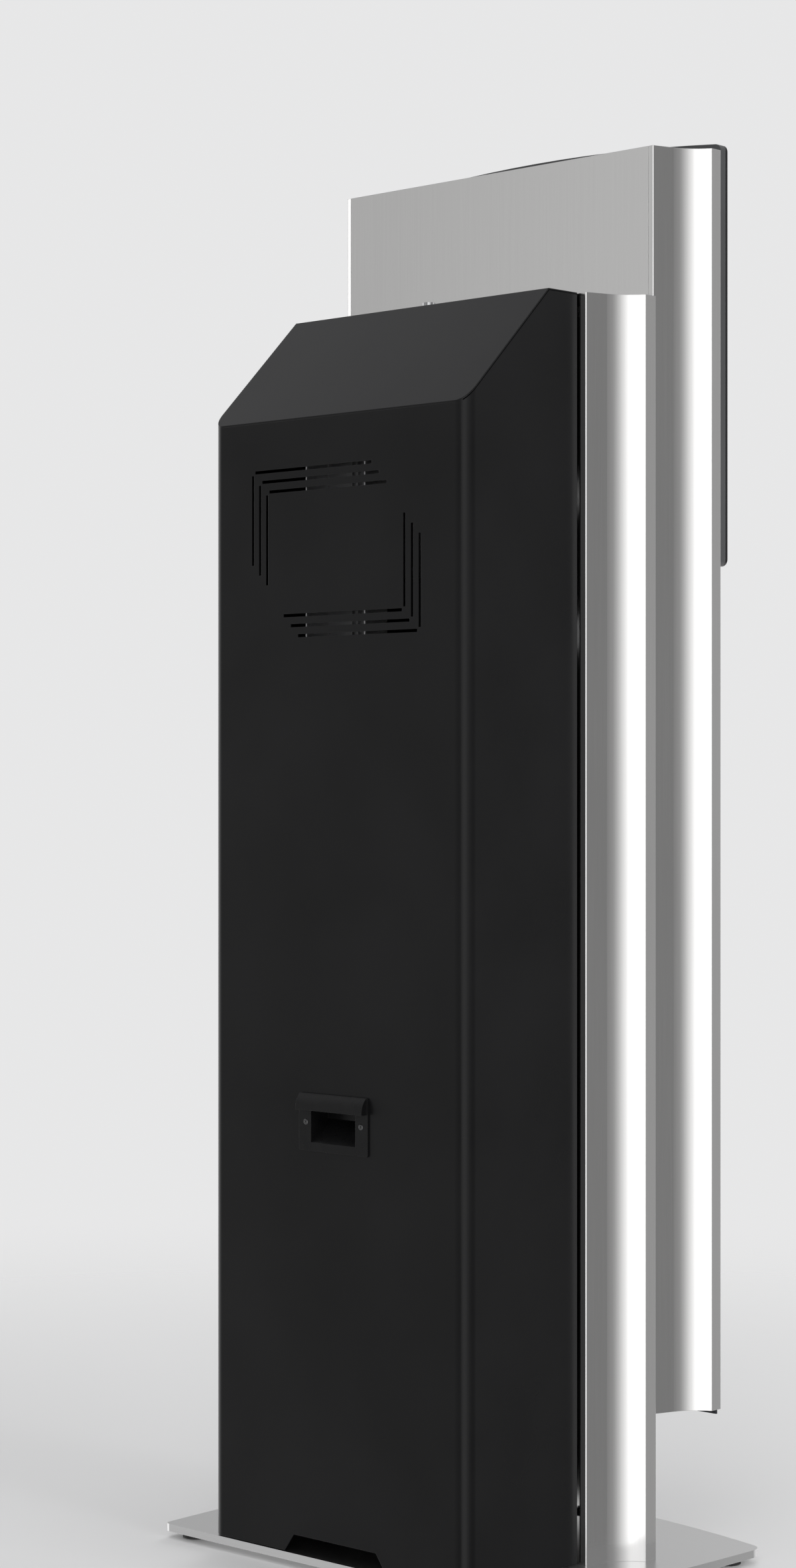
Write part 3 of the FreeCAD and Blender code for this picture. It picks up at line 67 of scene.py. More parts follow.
def area_light(name, place, target, width, height, power):
    data = bpy.data.lights.new(name, "AREA")
    data.shape = "RECTANGLE"
    data.size = width
    data.size_y = height
    data.energy = power
    light = bpy.data.objects.new(name, data)
    light.location = place
    light.rotation_euler = (Vector(target) - Vector(place)).to_track_quat("-Z", "Y").to_euler()
    light.visible_glossy = False
    bpy.context.scene.collection.objects.link(light)


BACKDROP = 0.80
STUDIO_CEILING = (0.52, 0.52, 0.53, 1)
# brightness round the machine: degrees anticlockwise from +X, level
STUDIO_RING = (
    (-180, 0.34), (-169, 0.225), (-158, 0.225), (-134, 0.31), (-124, 0.42), (-110, 0.90), (-72, 0.80),
    (-32, 0.30),
    (-20, 1.30), (18, 1.30), (28, 0.46), (42, 0.44), (52, 0.60), (84, 0.42), (103, 0.26), (113, 1.5),
    (140, 1.5), (151, 1.05), (159, 0.84), (166, 0.62), (175, 0.42), (180, 0.34),
)


def make_world():
    """Soft boxes all round as a ring of brightness by direction; the camera sees a plain pale backdrop."""
    world = bpy.data.worlds.new("Studio")
    bpy.context.scene.world = world
    world.use_nodes = True
    tree = world.node_tree
    tree.nodes.clear()
    add, join = tree.nodes.new, tree.links.new
    place = add("ShaderNodeTexCoord")
    parts = add("ShaderNodeSeparateXYZ")
    join(place.outputs["Generated"], parts.inputs[0])
    turn = add("ShaderNodeMath")
    turn.operation = "ARCTAN2"
    join(parts.outputs["Y"], turn.inputs[0])
    join(parts.outputs["X"], turn.inputs[1])
    ring = add("ShaderNodeMapRange")
    ring.inputs["From Min"].default_value = -math.pi
    ring.inputs["From Max"].default_value = math.pi
    join(turn.outputs[0], ring.inputs["Value"])
    ramp = add("ShaderNodeValToRGB")
    stops = ramp.color_ramp.elements
    while len(stops) < len(STUDIO_RING):
        stops.new(0.5)
    for stop, (angle, level) in zip(stops, STUDIO_RING):
        stop.position = (angle + 180) / 360
        stop.color = (level, level, level, 1)
    join(ring.outputs[0], ramp.inputs[0])
    height = add("ShaderNodeMapRange")
    height.interpolation_type = "SMOOTHSTEP"
    height.inputs["From Min"].default_value = 0.25
    height.inputs["From Max"].default_value = 0.75
    join(parts.outputs["Z"], height.inputs["Value"])
    sky = add("ShaderNodeMix")
    sky.data_type = "RGBA"
    sky.inputs["B"].default_value = STUDIO_CEILING
    join(height.outputs[0], sky.inputs["Factor"])
    join(ramp.outputs[0], sky.inputs["A"])
    studio = add("ShaderNodeBackground")
    join(sky.outputs["Result"], studio.inputs["Color"])
    plain = add("ShaderNodeBackground")
    plain.inputs["Color"].default_value = (BACKDROP, BACKDROP, BACKDROP * 1.005, 1)
    path = add("ShaderNodeLightPath")
    either = add("ShaderNodeMixShader")
    join(path.outputs["Is Camera Ray"], either.inputs[0])
    join(studio.outputs[0], either.inputs[1])
    join(plain.outputs[0], either.inputs[2])
    join(either.outputs[0], add("ShaderNodeOutputWorld").inputs[0])


FLOOR_RADIUS = 9.0
FLOOR_FADE = (0.8, 3.0)


def make_floor():
    """A pale floor that fades into the backdrop and isn't mirrored in the steel."""
    mesh = bpy.data.meshes.new("Floor")
    form = bmesh.new()
    bmesh.ops.create_circle(form, cap_ends=True, radius=FLOOR_RADIUS, segments=96)
    form.to_mesh(mesh)
    form.free()
    floor = bpy.data.objects.new("Floor", mesh)
    bpy.context.scene.collection.objects.link(floor)
    material = bpy.data.materials.new("studio_floor")
    material.use_nodes = True
    tree = material.node_tree
    add, join = tree.nodes.new, tree.links.new
    shader = tree.nodes["Principled BSDF"]
    shader.inputs["Base Color"].default_value = (0.70, 0.70, 0.70, 1)
    shader.inputs["Roughness"].default_value = 0.55
    shader.inputs["Specular IOR Level"].default_value = 0.25
    place = add("ShaderNodeTexCoord")
    away = add("ShaderNodeVectorMath")
    away.operation = "LENGTH"
    join(place.outputs["Object"], away.inputs[0])
    fade = add("ShaderNodeMapRange")
    fade.interpolation_type = "SMOOTHSTEP"
    fade.inputs["From Min"].default_value = FLOOR_FADE[0]
    fade.inputs["From Max"].default_value = FLOOR_FADE[1]
    join(away.outputs["Value"], fade.inputs["Value"])
    clear = add("ShaderNodeBsdfTransparent")
    mix = add("ShaderNodeMixShader")
    join(fade.outputs[0], mix.inputs[0])
    join(shader.outputs[0], mix.inputs[1])
    join(clear.outputs[0], mix.inputs[2])
    join(mix.outputs[0], tree.nodes["Material Output"].inputs[0])
    mesh.materials.append(material)
    floor.visible_glossy = False


make_camera()
make_world()
make_floor()
area_light("Key", (-2.4, 3.6, 3.4), (0, 0, 0.8), 2.2, 2.2, 45)
area_light("Top", (0.6, 0.2, 4.2), (0, 0, 0.6), 2.6, 2.6, 32)
area_light("Front", (1.8, -3.4, 2.4), (0, 0, 0.9), 2.0, 2.4, 45)
area_light("Side", (-3.6, 0.0, 1.3), (0, 0, 0.9), 1.8, 2.2, 80)
bpy.context.scene.view_settings.view_transform = "Standard"


# ---------------------------------------------------------------- materials

class Surface:
    """A Principled material with small helpers for its procedural detail."""

    def __init__(self, name, color, rough, metal=0.0):
        self.material = bpy.data.materials.new(name)
        self.material.use_nodes = True
        self.tree = self.material.node_tree
        self.shader = self.tree.nodes["Principled BSDF"]
        self.place = self.add("ShaderNodeTexCoord").outputs["Object"]
        self.color = (*color, 1.0)
        self.set("Base Color", self.color)
        self.set("Roughness", rough)
        self.set("Metallic", metal)
        self.normal = None

    def add(self, kind, **settings):
        made = self.tree.nodes.new(kind)
        for name, value in settings.items():
            setattr(made, name, value)
        return made

    def join(self, start, end):
        self.tree.links.new(start, end)

    def set(self, name, value):
        self.shader.inputs[name].default_value = value

    def stretched(self, scale):
        mapping = self.add("ShaderNodeMapping")
        mapping.inputs["Scale"].default_value = scale
        self.join(self.place, mapping.inputs["Vector"])
        return mapping.outputs[0]

    def noise(self, scale, detail=2.0, rough=0.5, vector=None):
        made = self.add("ShaderNodeTexNoise")
        made.inputs["Scale"].default_value = scale
        made.inputs["Detail"].default_value = detail
        made.inputs["Roughness"].default_value = rough
        self.join(vector or self.place, made.inputs["Vector"])
        return made.outputs["Fac"]

    def cells(self, scale, output="Distance"):
        made = self.add("ShaderNodeTexVoronoi")
        made.inputs["Scale"].default_value = scale
        self.join(self.place, made.inputs["Vector"])
        return made.outputs[output]

    def ranged(self, value, low, high, start, end):
        """Map start..end of the value to low..high."""
        made = self.add("ShaderNodeMapRange")
        for name, number in zip(("From Min", "From Max", "To Min", "To Max"), (start, end, low, high)):
            made.inputs[name].default_value = number
        self.join(value, made.inputs["Value"])
        return made.outputs[0]

    def sum(self, first, second, operation="ADD"):
        """Two values, or a value and a number, through one maths node."""
        made = self.add("ShaderNodeMath", operation=operation)
        for socket, value in zip(made.inputs, (first, second)):
            if isinstance(value, (int, float)):
                socket.default_value = value
            else:
                self.join(value, socket)
        return made.outputs[0]

    def rough(self, value, low, high, start=0.3, end=0.7):
        self.join(self.ranged(value, low, high, start, end), self.shader.inputs["Roughness"])

    def tint(self, value, low, high, start=0.3, end=0.7):
        """Vary the base colour between two strengths of it."""
        ramp = self.add("ShaderNodeMix", data_type="RGBA")
        ramp.inputs["A"].default_value = (*[c * low for c in self.color[:3]], 1)
        ramp.inputs["B"].default_value = (*[min(1.0, c * high) for c in self.color[:3]], 1)
        self.join(self.ranged(value, 0, 1, start, end), ramp.inputs["Factor"])
        self.join(ramp.outputs["Result"], self.shader.inputs["Base Color"])

    def soften(self, radius):
        """Round the look of every sharp edge."""
        bevel = self.add("ShaderNodeBevel", samples=4)
        bevel.inputs["Radius"].default_value = radius
        self.normal = bevel.outputs[0]
        self.join(self.normal, self.shader.inputs["Normal"])

    def bump(self, value, distance, strength):
        made = self.add("ShaderNodeBump")
        made.inputs["Distance"].default_value = distance
        made.inputs["Strength"].default_value = strength
        self.join(value, made.inputs["Height"])
        if self.normal:
            self.join(self.normal, made.inputs["Normal"])
        self.normal = made.outputs[0]
        self.join(self.normal, self.shader.inputs["Normal"])


def powder_coat(name, color, rough, edge=0.0008):
    """Sprayed and baked paint: fine orange peel, cloudy gloss."""
    skin = Surface(name, color, rough)
    skin.soften(edge)
    cloud = skin.noise(5.0, 3.0)
    peel = skin.noise(620.0, 2.0)
    skin.tint(skin.sum(cloud, skin.sum(peel, 0.25, "MULTIPLY")), 0.85, 1.2, 0.45, 0.8)
    skin.rough(cloud, rough - 0.05, rough + 0.06)
    skin.bump(peel, 0.00006, 0.5)
    return skin


def satin_steel(name, color, rough, grain=(900.0, 900.0, 7.0)):
    """Fine satin brushing: long scratches along the sheet's own grain."""
    skin = Surface(name, color, rough, 1.0)
    skin.soften(0.0006)
    lines = skin.noise(1.0, 3.0, 0.6, skin.stretched(grain))
    cloud = skin.noise(3.2, 2.0)
    skin.tint(skin.sum(skin.sum(lines, 0.6, "MULTIPLY"), skin.sum(cloud, 0.4, "MULTIPLY")), 0.965, 1.02)
    skin.rough(skin.sum(lines, cloud, "MULTIPLY"), rough - 0.02, rough + 0.03, 0.12, 0.4)
    skin.bump(lines, 0.000006, 0.25)
    return skin


def zinc_plate(name, color=(0.60, 0.61, 0.62), rough=0.34):
    """Zinc-plated sheet with a faint crystal pattern."""
    skin = Surface(name, color, rough, 1.0)
    skin.soften(0.0005)
    spangle = skin.cells(95.0, output="Color")
    grey = skin.add("ShaderNodeRGBToBW")
    skin.join(spangle, grey.inputs[0])
    skin.tint(grey.outputs[0], 0.82, 1.08, 0.1, 0.9)
    skin.rough(skin.sum(grey.outputs[0], skin.noise(14.0, 3.0)), rough - 0.08, rough + 0.1, 0.5, 1.4)
    skin.bump(skin.noise(240.0, 3.0), 0.00003, 0.4)
    return skin


def moulded(name, color, rough, grain=1500.0, depth=0.00005):
    """Moulded plastic with a spark-eroded grain."""
    skin = Surface(name, color, rough)
    skin.soften(0.0006)
    grit = skin.cells(grain)
    skin.tint(skin.noise(22.0, 3.0), 0.85, 1.15)
    skin.rough(skin.noise(60.0, 3.0), rough - 0.06, rough + 0.08)
    skin.bump(grit, depth, 0.6)
    return skin


def rubber(name, color=(0.018, 0.018, 0.018), rough=0.7, grain=900.0):
    """Rubber or foam: matt, with open pores."""
    skin = Surface(name, color, rough)
    pores = skin.cells(grain)
    skin.tint(skin.noise(35.0, 4.0), 0.75, 1.25)
    skin.rough(skin.noise(180.0, 2.0), rough - 0.08, rough + 0.1)
    skin.bump(pores, 0.00015, 0.7)
    return skin


def machined(name, color, rough=0.22, grain=(30.0, 1400.0, 1400.0)):
    """Turned or ground steel."""
    skin = Surface(name, color, rough, 1.0)
    skin.soften(0.0003)
    lines = skin.noise(1.0, 2.0, 0.5, skin.stretched(grain))
    skin.tint(skin.sum(lines, skin.noise(9.0, 2.0), "MULTIPLY"), 0.85, 1.08, 0.1, 0.4)
    skin.rough(lines, rough - 0.06, rough + 0.08)
    skin.bump(lines, 0.00001, 0.4)
    return skin


def wound_paper():
    """Thermal paper wound on a core: fine rings on the ends, a smooth outside."""
    skin = Surface("wound_paper", (0.84, 0.83, 0.80), 0.75)
    low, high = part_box("paper_roll")
    middle = (low + high) / 2
    away = skin.add("ShaderNodeVectorMath", operation="SUBTRACT")
    away.inputs[1].default_value = middle
    skin.join(skin.place, away.inputs[0])
    flat = skin.add("ShaderNodeVectorMath", operation="MULTIPLY")
    flat.inputs[1].default_value = (0, 1, 1)
    skin.join(away.outputs[0], flat.inputs[0])
    radius = skin.add("ShaderNodeVectorMath", operation="LENGTH")
    skin.join(flat.outputs[0], radius.inputs[0])
    turns = skin.sum(skin.sum(radius.outputs["Value"], 2600.0, "MULTIPLY"), 0.0, "SINE")
    streaks = skin.noise(1.0, 3.0, 0.6, skin.stretched((12.0, 260.0, 260.0)))
    both = skin.sum(skin.sum(turns, 0.22, "MULTIPLY"), streaks)
    skin.tint(both, 0.86, 1.04, 0.2, 0.8)
    skin.rough(streaks, 0.68, 0.82)
    skin.bump(turns, 0.00004, 0.5)
    return skin


def chromed(name, color, rough):
    """Chromium plate with a little haze."""
    skin = Surface(name, color, rough, 1.0)
    skin.soften(0.0004)
    skin.rough(skin.noise(300.0, 4.0), rough - 0.03, rough + 0.09)
    skin.tint(skin.noise(40.0, 2.0), 0.93, 1.04)
    skin.bump(skin.noise(900.0, 3.0), 0.000006, 0.3)
    return skin


def clear_sheet(name, color):
    """Clear acrylic with faint wiping marks."""
    skin = Surface(name, color, 0.0)
    skin.set("Transmission Weight", 1.0)
    skin.set("IOR", 1.49)
    skin.rough(skin.noise(1.0, 3.0, 0.6, skin.stretched((60.0, 60.0, 14.0))), 0.0, 0.03)
    skin.tint(skin.noise(6.0, 2.0), 0.97, 1.0)
    return skin


def glowing(name, color, power):
    """A lamp or screen area that gives off its own light."""
    skin = Surface(name, color, 0.4)
    skin.set("Emission Color", (*color, 1))
    skin.set("Emission Strength", power)
    skin.tint(skin.noise(25.0, 2.0), 0.93, 1.05)
    skin.rough(skin.noise(90.0, 2.0), 0.35, 0.5)
    return skin


def window_glass(name, low, high, margin):
    """Glass that is clear inside a rectangle and printed black around it."""
    blur = 0.0004
    skin = Surface(name, (0.004, 0.004, 0.005), 0.04)
    skin.set("IOR", 1.5)
    parts = skin.add("ShaderNodeSeparateXYZ")
    skin.join(skin.place, parts.inputs[0])
    inside = None
    for letter, near, far in (("X", low.x, high.x), ("Z", low.z, high.z)):
        for sign, edge in ((1, near + margin), (-1, far - margin)):
            reach = skin.ranged(parts.outputs[letter], 0, 1, edge - sign * blur, edge + sign * blur)
            inside = reach if inside is None else skin.sum(inside, reach, "MULTIPLY")
    skin.join(inside, skin.shader.inputs["Transmission Weight"])
    color = skin.add("ShaderNodeMix", data_type="RGBA")
    color.inputs["A"].default_value = skin.color
    color.inputs["B"].default_value = (0.96, 0.97, 0.98, 1)
    skin.join(inside, color.inputs["Factor"])
    skin.join(color.outputs["Result"], skin.shader.inputs["Base Color"])
    skin.rough(skin.noise(1.0, 3.0, 0.6, skin.stretched((9.0, 9.0, 4.0))), 0.02, 0.07)
    return skin


def dress(material, *names):
    """Give CAD nodes a material."""
    for name in names:
        mesh = NODES[name].data
        for index in range(max(1, len(mesh.materials))):
            if index < len(mesh.materials):
                mesh.materials[index] = material.material
            else:
                mesh.materials.append(material.material)


# ---------------------------------------------------------------- new pieces

BEVEL_ANGLE = math.radians(40)
CORNER_STEPS = 5
ROUND_STEPS = 28
TURNED_STEPS = 40
WELD = 1e-7


def build(name, form, material, body, bevel=0.0, segments=2):
    """Turn a bmesh into a piece of the object that rides on a body."""
    mesh = bpy.data.meshes.new(name)
    bmesh.ops.recalc_face_normals(form, faces=form.faces)
    form.to_mesh(mesh)
    form.free()
    mesh.materials.append(material.material)
    thing = bpy.data.objects.new(name, mesh)
    bpy.context.scene.collection.objects.link(thing)
    if bevel:
        edge = thing.modifiers.new("Edge", "BEVEL")
        edge.width = bevel
        edge.segments = segments
        edge.limit_method = "ANGLE"
        edge.angle_limit = BEVEL_ANGLE
        edge.harden_normals = True
    for face in mesh.polygons:
        face.use_smooth = bool(bevel)
    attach(thing, body)
    return thing


def rounded(x, z, radius):
    """Corner points of a rounded rectangle in the XZ plane, anticlockwise."""
    points = []
    corners = ((x[1], z[1], 0), (x[0], z[1], 90), (x[0], z[0], 180), (x[1], z[0], 270))
    for cx, cz, start in corners:
        inward_x = -1 if start in (0, 270) else 1
        inward_z = -1 if start in (0, 90) else 1
        for step in range(CORNER_STEPS + 1):
            angle = math.radians(start + 90 * step / CORNER_STEPS)
            points.append((cx + inward_x * radius + radius * math.cos(angle),
                           cz + inward_z * radius + radius * math.sin(angle)))
    return points


def add_prism(form, points, near, far):
    """Extrude an XZ outline between two Y values."""
    rings = [[form.verts.new((x, y, z)) for x, z in points] for y in (near, far)]
    count = len(points)
    form.faces.new(rings[0])
    form.faces.new(rings[1][::-1])
    for index in range(count):
        after = (index + 1) % count
        form.faces.new((rings[0][index], rings[1][index], rings[1][after], rings[0][after]))


def add_ring(form, outer, inner, near, far):
    """Extrude the band between two outlines with the same number of points."""
    count = len(outer)
    loops = [[form.verts.new((x, y, z)) for x, z in points] for points, y in
             ((outer, near), (outer, far), (inner, far), (inner, near))]
    for first, second in zip(loops, loops[1:] + loops[:1]):
        for index in range(count):
            after = (index + 1) % count
            form.faces.new((first[index], second[index], second[after], first[after]))


def add_turned(form, centre, profile, axis="Y"):
    """Turn a profile of (radius, along) round an axis through centre."""
    rings = []
    for step in range(TURNED_STEPS):
        angle = 2 * math.pi * step / TURNED_STEPS
        ring = []
        for radius, along in profile:
            u, v = radius * math.cos(angle), radius * math.sin(angle)
            spot = (u, along, v) if axis == "Y" else (u, v, along)
            ring.append(form.verts.new(Vector(centre) + Vector(spot)))
        rings.append(ring)
    count = len(profile)
    for step, ring in enumerate(rings):
        following = rings[(step + 1) % TURNED_STEPS]
        for index in range(count - 1):
            form.faces.new((ring[index], following[index], following[index + 1], ring[index + 1]))
    bmesh.ops.remove_doubles(form, verts=form.verts, dist=WELD)


def circle(centre, radius):
    """Corner points of a circle in the XZ plane."""
    points = []
    for step in range(ROUND_STEPS):
        angle = 2 * math.pi * step / ROUND_STEPS
        points.append((centre[0] + radius * math.cos(angle), centre[1] + radius * math.sin(angle)))
    return points


def square(x, z, half_x, half_z, radius):
    """A rounded rectangle round a middle point."""
    return rounded((x - half_x, x + half_x), (z - half_z, z + half_z), radius)


def margin(low, high, extra, radius):
    """A rounded rectangle that stands beyond a box's XZ outline on every side."""
    return rounded((low.x - extra, high.x + extra), (low.z - extra, high.z + extra), radius)


# ---------------------------------------------------------------- materials in use

TURNED_GRAIN = (900.0, 900.0, 900.0)
STEEL_COLOR = (0.79, 0.785, 0.78)

door_coat = powder_coat("door_coat", (0.0050, 0.0050, 0.0053), 0.3)
door_coat.set("Specular IOR Level", 0.2)
steel = satin_steel("satin_steel", STEEL_COLOR, 0.16)
strip_steel = satin_steel("satin_steel_strip", STEEL_COLOR, 0.16)
zinc = zinc_plate("zinc_plate")
black_steel = powder_coat("black_steel", (0.012, 0.012, 0.013), 0.4, 0.0004)
plain_steel = machined("plain_steel", (0.62, 0.62, 0.63))
unit_plastic = moulded("unit_plastic", (0.022, 0.022, 0.024), 0.5)
dark_plastic = moulded("terminal_plastic", (0.012, 0.012, 0.014), 0.32, 2200.0, 0.00002)
handle_plastic = moulded("handle_plastic", (0.0052, 0.0052, 0.0055), 0.28, 1800.0, 0.00003)
handle_plastic.set("Specular IOR Level", 0.2)
black_screw = machined("black_screw", (0.10, 0.10, 0.102), 0.3, TURNED_GRAIN)
key_plastic = moulded("key_plastic", (0.32, 0.33, 0.34), 0.45)
chrome = chromed("lock_chrome", (0.5, 0.5, 0.51), 0.14)
dark_chrome = chromed("screw_steel", (0.22, 0.22, 0.22), 0.25)
tray_steel = satin_steel("tray_steel", (0.70, 0.70, 0.70), 0.24, (6.0, 900.0, 900.0))
flap_clear = clear_sheet("flap_clear", (0.93, 0.97, 0.97))
white_mark = moulded("white_mark", (0.72, 0.73, 0.74), 0.55, 2500.0, 0.00001)
glow_white = glowing("glow_white", (0.75, 0.88, 1.0), 1.1)
glow_green = glowing("glow_green", (0.10, 0.75, 0.32), 1.3)
glow_red = glowing("glow_red", (0.75, 0.03, 0.02), 1.2)

dress(door_coat, "door_shell", "door_lid")
dress(steel, "column_side_left", "column_side_right", "tower_side_left", "column_cap", "tower_caps",
      "tower_back_panel")
dress(strip_steel, "tower_side_right")
dress(satin_steel("base_steel", (0.80, 0.80, 0.80), 0.3, (6.0, 1100.0, 1100.0)), "base_plate")
dress(powder_coat("front_coat", (0.022, 0.023, 0.027), 0.38), "tower_front_panel")
dress(powder_coat("housing_coat", (0.042, 0.043, 0.045), 0.34), "display_housing")
dress(zinc, "column_top_rail", "column_bottom_rail", "mounting_rails", "printer_frame", "lock_keeper",
      "coin_box", "power_supply")
dress(zinc_plate("fan_bracket_zinc", (0.30, 0.30, 0.305), 0.4), "fan_bracket")
dress(black_steel, "hinge_brackets", "door_hinge_ears", "cutter")
dress(plain_steel, "roll_axle", "lock_cam")
dress(machined("pin_steel", (0.14, 0.14, 0.14), 0.3), "hinge_pins")
dress(machined("screw_zinc", (0.5, 0.5, 0.5), 0.3, TURNED_GRAIN), "base_screws")
dress(handle_plastic, "pull_handle")
dress(chrome, "lock_body", "lock_plug", "coin_button", "help_button")
dress(rubber("seal_foam"), "door_seal")
dress(moulded("fan_plastic", (0.014, 0.014, 0.015), 0.42), "fan_frame", "fan_rotor")
dress(rubber("roller_rubber", (0.03, 0.03, 0.03), 0.55, 2400.0), "platen_roller")
dress(wound_paper(), "paper_roll")
dress(unit_plastic, "print_head", "printer_motor", "coin_acceptor", "scanner_body", "mains_inlet",
      "printer_cover")
dress(moulded("switch_red", (0.35, 0.01, 0.008), 0.35), "switch_rocker")
dress(tray_steel, "ticket_tray", "coin_cup", "coin_bezel", "coin_duct")
dress(flap_clear, "ticket_flap", "coin_flap")
dress(dark_plastic, "card_terminal")
dress(machined("computer_case", (0.36, 0.37, 0.38), 0.34, (25.0, 25.0, 900.0)), "computer")


def strip_glow():
    """The rear strip of one tower side leans slightly, so it catches the light beside it."""
    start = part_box("tower_back_panel")[1].x
    parts = strip_steel.add("ShaderNodeSeparateXYZ")
    strip_steel.join(strip_steel.place, parts.inputs[0])
    lean = strip_steel.ranged(parts.outputs["X"], 0.0, -1.0, start - 0.001, start + 0.009)
    strip_steel.bump(lean, 0.0032, 1.0)


strip_glow()


# ---------------------------------------------------------------- rear side pieces

def smooth(thing):
    for face in thing.data.polygons:
        face.use_smooth = True


def make_handle_screws():
    """Domed heads with a driver slot, in place of the plain CAD screws."""
    head = 0.0036
    slot_half, slot_reach = 0.0003, 0.0013
    low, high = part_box("handle_screws")
    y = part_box("pull_handle")[1].y - 0.008
    z = (low.z + high.z) / 2
    dome = [(0.0, y - 0.0006), (0.0012, y - 0.0006), (0.0016, y + 0.0009), (0.0026, y + 0.0008),
            (0.0034, y + 0.0002), (head, y - 0.0006), (head, y - 0.0016), (0.0, y - 0.0016)]
    form = bmesh.new()
    for x in (low.x + head, high.x - head):
        add_turned(form, (x, 0, z), dome)
        for edge in (-slot_reach, slot_reach):
            across = (x + min(edge, 0), x + max(edge, 0))
            add_prism(form, rounded(across, (z - slot_half, z + slot_half), 0.0001), y - 0.0005, y + 0.0001)
    screws = build("handle_screw_heads", form, black_screw, "rear_door")
    smooth(screws)
    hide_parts("handle_screws")


FOOT_PAD = (
    (0.0, 0.0), (0.0135, 0.0), (0.0148, 0.0006), (0.015, 0.002), (0.0148, 0.0034), (0.0138, 0.004),
    (0.0, 0.004),
)
FOOT_FLANGE = (
    (0.0, 0.0038), (0.0128, 0.0038), (0.0132, 0.0046), (0.011, 0.0062), (0.0075, 0.0068), (0.0068, 0.0075),
)
FOOT_TOP = 0.0148


def make_feet():
    """Rubber pads under threaded steel stems, in place of the plain CAD feet."""
    turns, pitch = 5, 0.0014
    crest, groove = 0.00495, 0.0043
    profile = list(FOOT_FLANGE)
    for turn in range(turns):
        profile += [(crest, 0.0078 + turn * pitch), (groove, 0.0085 + turn * pitch)]
    profile.append((0.0, FOOT_TOP))
    foot_rubber = rubber("foot_rubber")
    for node_name in sorted(name for name in NODES if name.startswith("foot_")):
        low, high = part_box(node_name)
        place = ((low.x + high.x) / 2, (low.y + high.y) / 2, 0)
        body = "{1}_{2}_foot".format(*node_name.split("_"))
        form = bmesh.new()
        add_turned(form, place, FOOT_PAD, "Z")
        smooth(build(f"{node_name}_pad", form, foot_rubber, body))
        form = bmesh.new()
        add_turned(form, place, profile, "Z")
        stem = build(f"{node_name}_stem", form, plain_steel, body)
        smooth(stem)
        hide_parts(node_name)


# ---------------------------------------------------------------- customer side pieces

PRINT = 0.0002


def make_screen():
    """A generic touch screen page: a header, six choices with plain signs, and a foot bar."""
    low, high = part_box("picture_panel")
    back, face = high.y, low.y + 0.0012
    edge, bar_height = 0.012, 0.024
    key_length, key_corner = 0.128, 0.006
    columns, rows = 3, 2
    form = bmesh.new()
    add_prism(form, margin(low, high, 0, 0.001), face, back)
    page = build("screen_page", form, glowing("screen_blue", (0.045, 0.10, 0.17), 0.9), "stand")
    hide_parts("picture_panel")
    tile_glow = glowing("screen_tile", (0.78, 0.84, 0.88), 0.75)
    accent = glowing("screen_accent", (0.02, 0.42, 0.55), 0.9)
    amber = glowing("screen_amber", (0.85, 0.40, 0.04), 0.9)
    foot = (low.z + edge, low.z + edge + bar_height)
    header = (high.z - edge - bar_height, high.z - edge)
    tiles, signs, bars = bmesh.new(), bmesh.new(), bmesh.new()
    add_prism(bars, rounded((low.x + edge, high.x - edge), header, 0.004), face - PRINT, face)
    back_key = (low.x + edge, low.x + edge + key_length)
    add_prism(bars, rounded(back_key, foot, key_corner), face - PRINT, face)
    for column in range(columns):
        for row in range(rows):
            x = low.x + (high.x - low.x) * (column + 0.5) / columns
            z = low.z + 0.05 + (high.z - low.z - 0.10) * (row + 0.5) / rows
            add_prism(tiles, square(x, z, 0.078, 0.042, 0.007), face - PRINT, face)
            add_prism(bars, square(x, z - 0.029, 0.05, 0.004, 0.003), face - 2 * PRINT, face - PRINT)
            draw_sign(signs, x, z + 0.01, column + columns * row, face - 2 * PRINT, face - PRINT)
    build("screen_tiles", tiles, tile_glow, "stand")
    build("screen_bars", bars, accent, "stand")
    build("screen_signs", signs, accent, "stand")
    form = bmesh.new()
    pay_key = (high.x - edge - key_length, high.x - edge)
    add_prism(form, rounded(pay_key, foot, key_corner), face - PRINT, face)
    build("screen_pay_key", form, amber, "stand")


CLOCK, PEOPLE, PLUS = 3, 2, 5


def draw_sign(form, x, z, kind, near, far):
    """Plain pictograms: tickets with one or more lines, people, a clock and a plus."""
    def bar(x0, x1, z0, z1, radius=0.0015):
        add_prism(form, rounded((x + x0, x + x1), (z + z0, z + z1), radius), near, far)

    if kind == PEOPLE:
        for shift in (-0.012, 0.012):
            add_prism(form, circle((x + shift, z + 0.011), 0.0055), near, far)
            bar(shift - 0.008, shift + 0.008, -0.015, 0.003, 0.006)
    elif kind == CLOCK:
        add_ring(form, circle((x, z), 0.017), circle((x, z), 0.014), near, far)
        bar(-0.001, 0.001, 0.0, 0.011, 0.0008)
        bar(0.0, 0.009, -0.001, 0.001, 0.0008)
    elif kind == PLUS:
        bar(-0.003, 0.003, -0.016, 0.016)
        bar(-0.016, -0.0035, -0.003, 0.003)
        bar(0.0035, 0.016, -0.003, 0.003)
    else:
        add_ring(form, square(x, z, 0.026, 0.015, 0.004), square(x, z, 0.023, 0.012, 0.003), near, far)
        for step in range(kind + 1):
            bar(-0.017, 0.012 - step * 0.006, 0.004 - step * 0.005, 0.0065 - step * 0.005, 0.001)


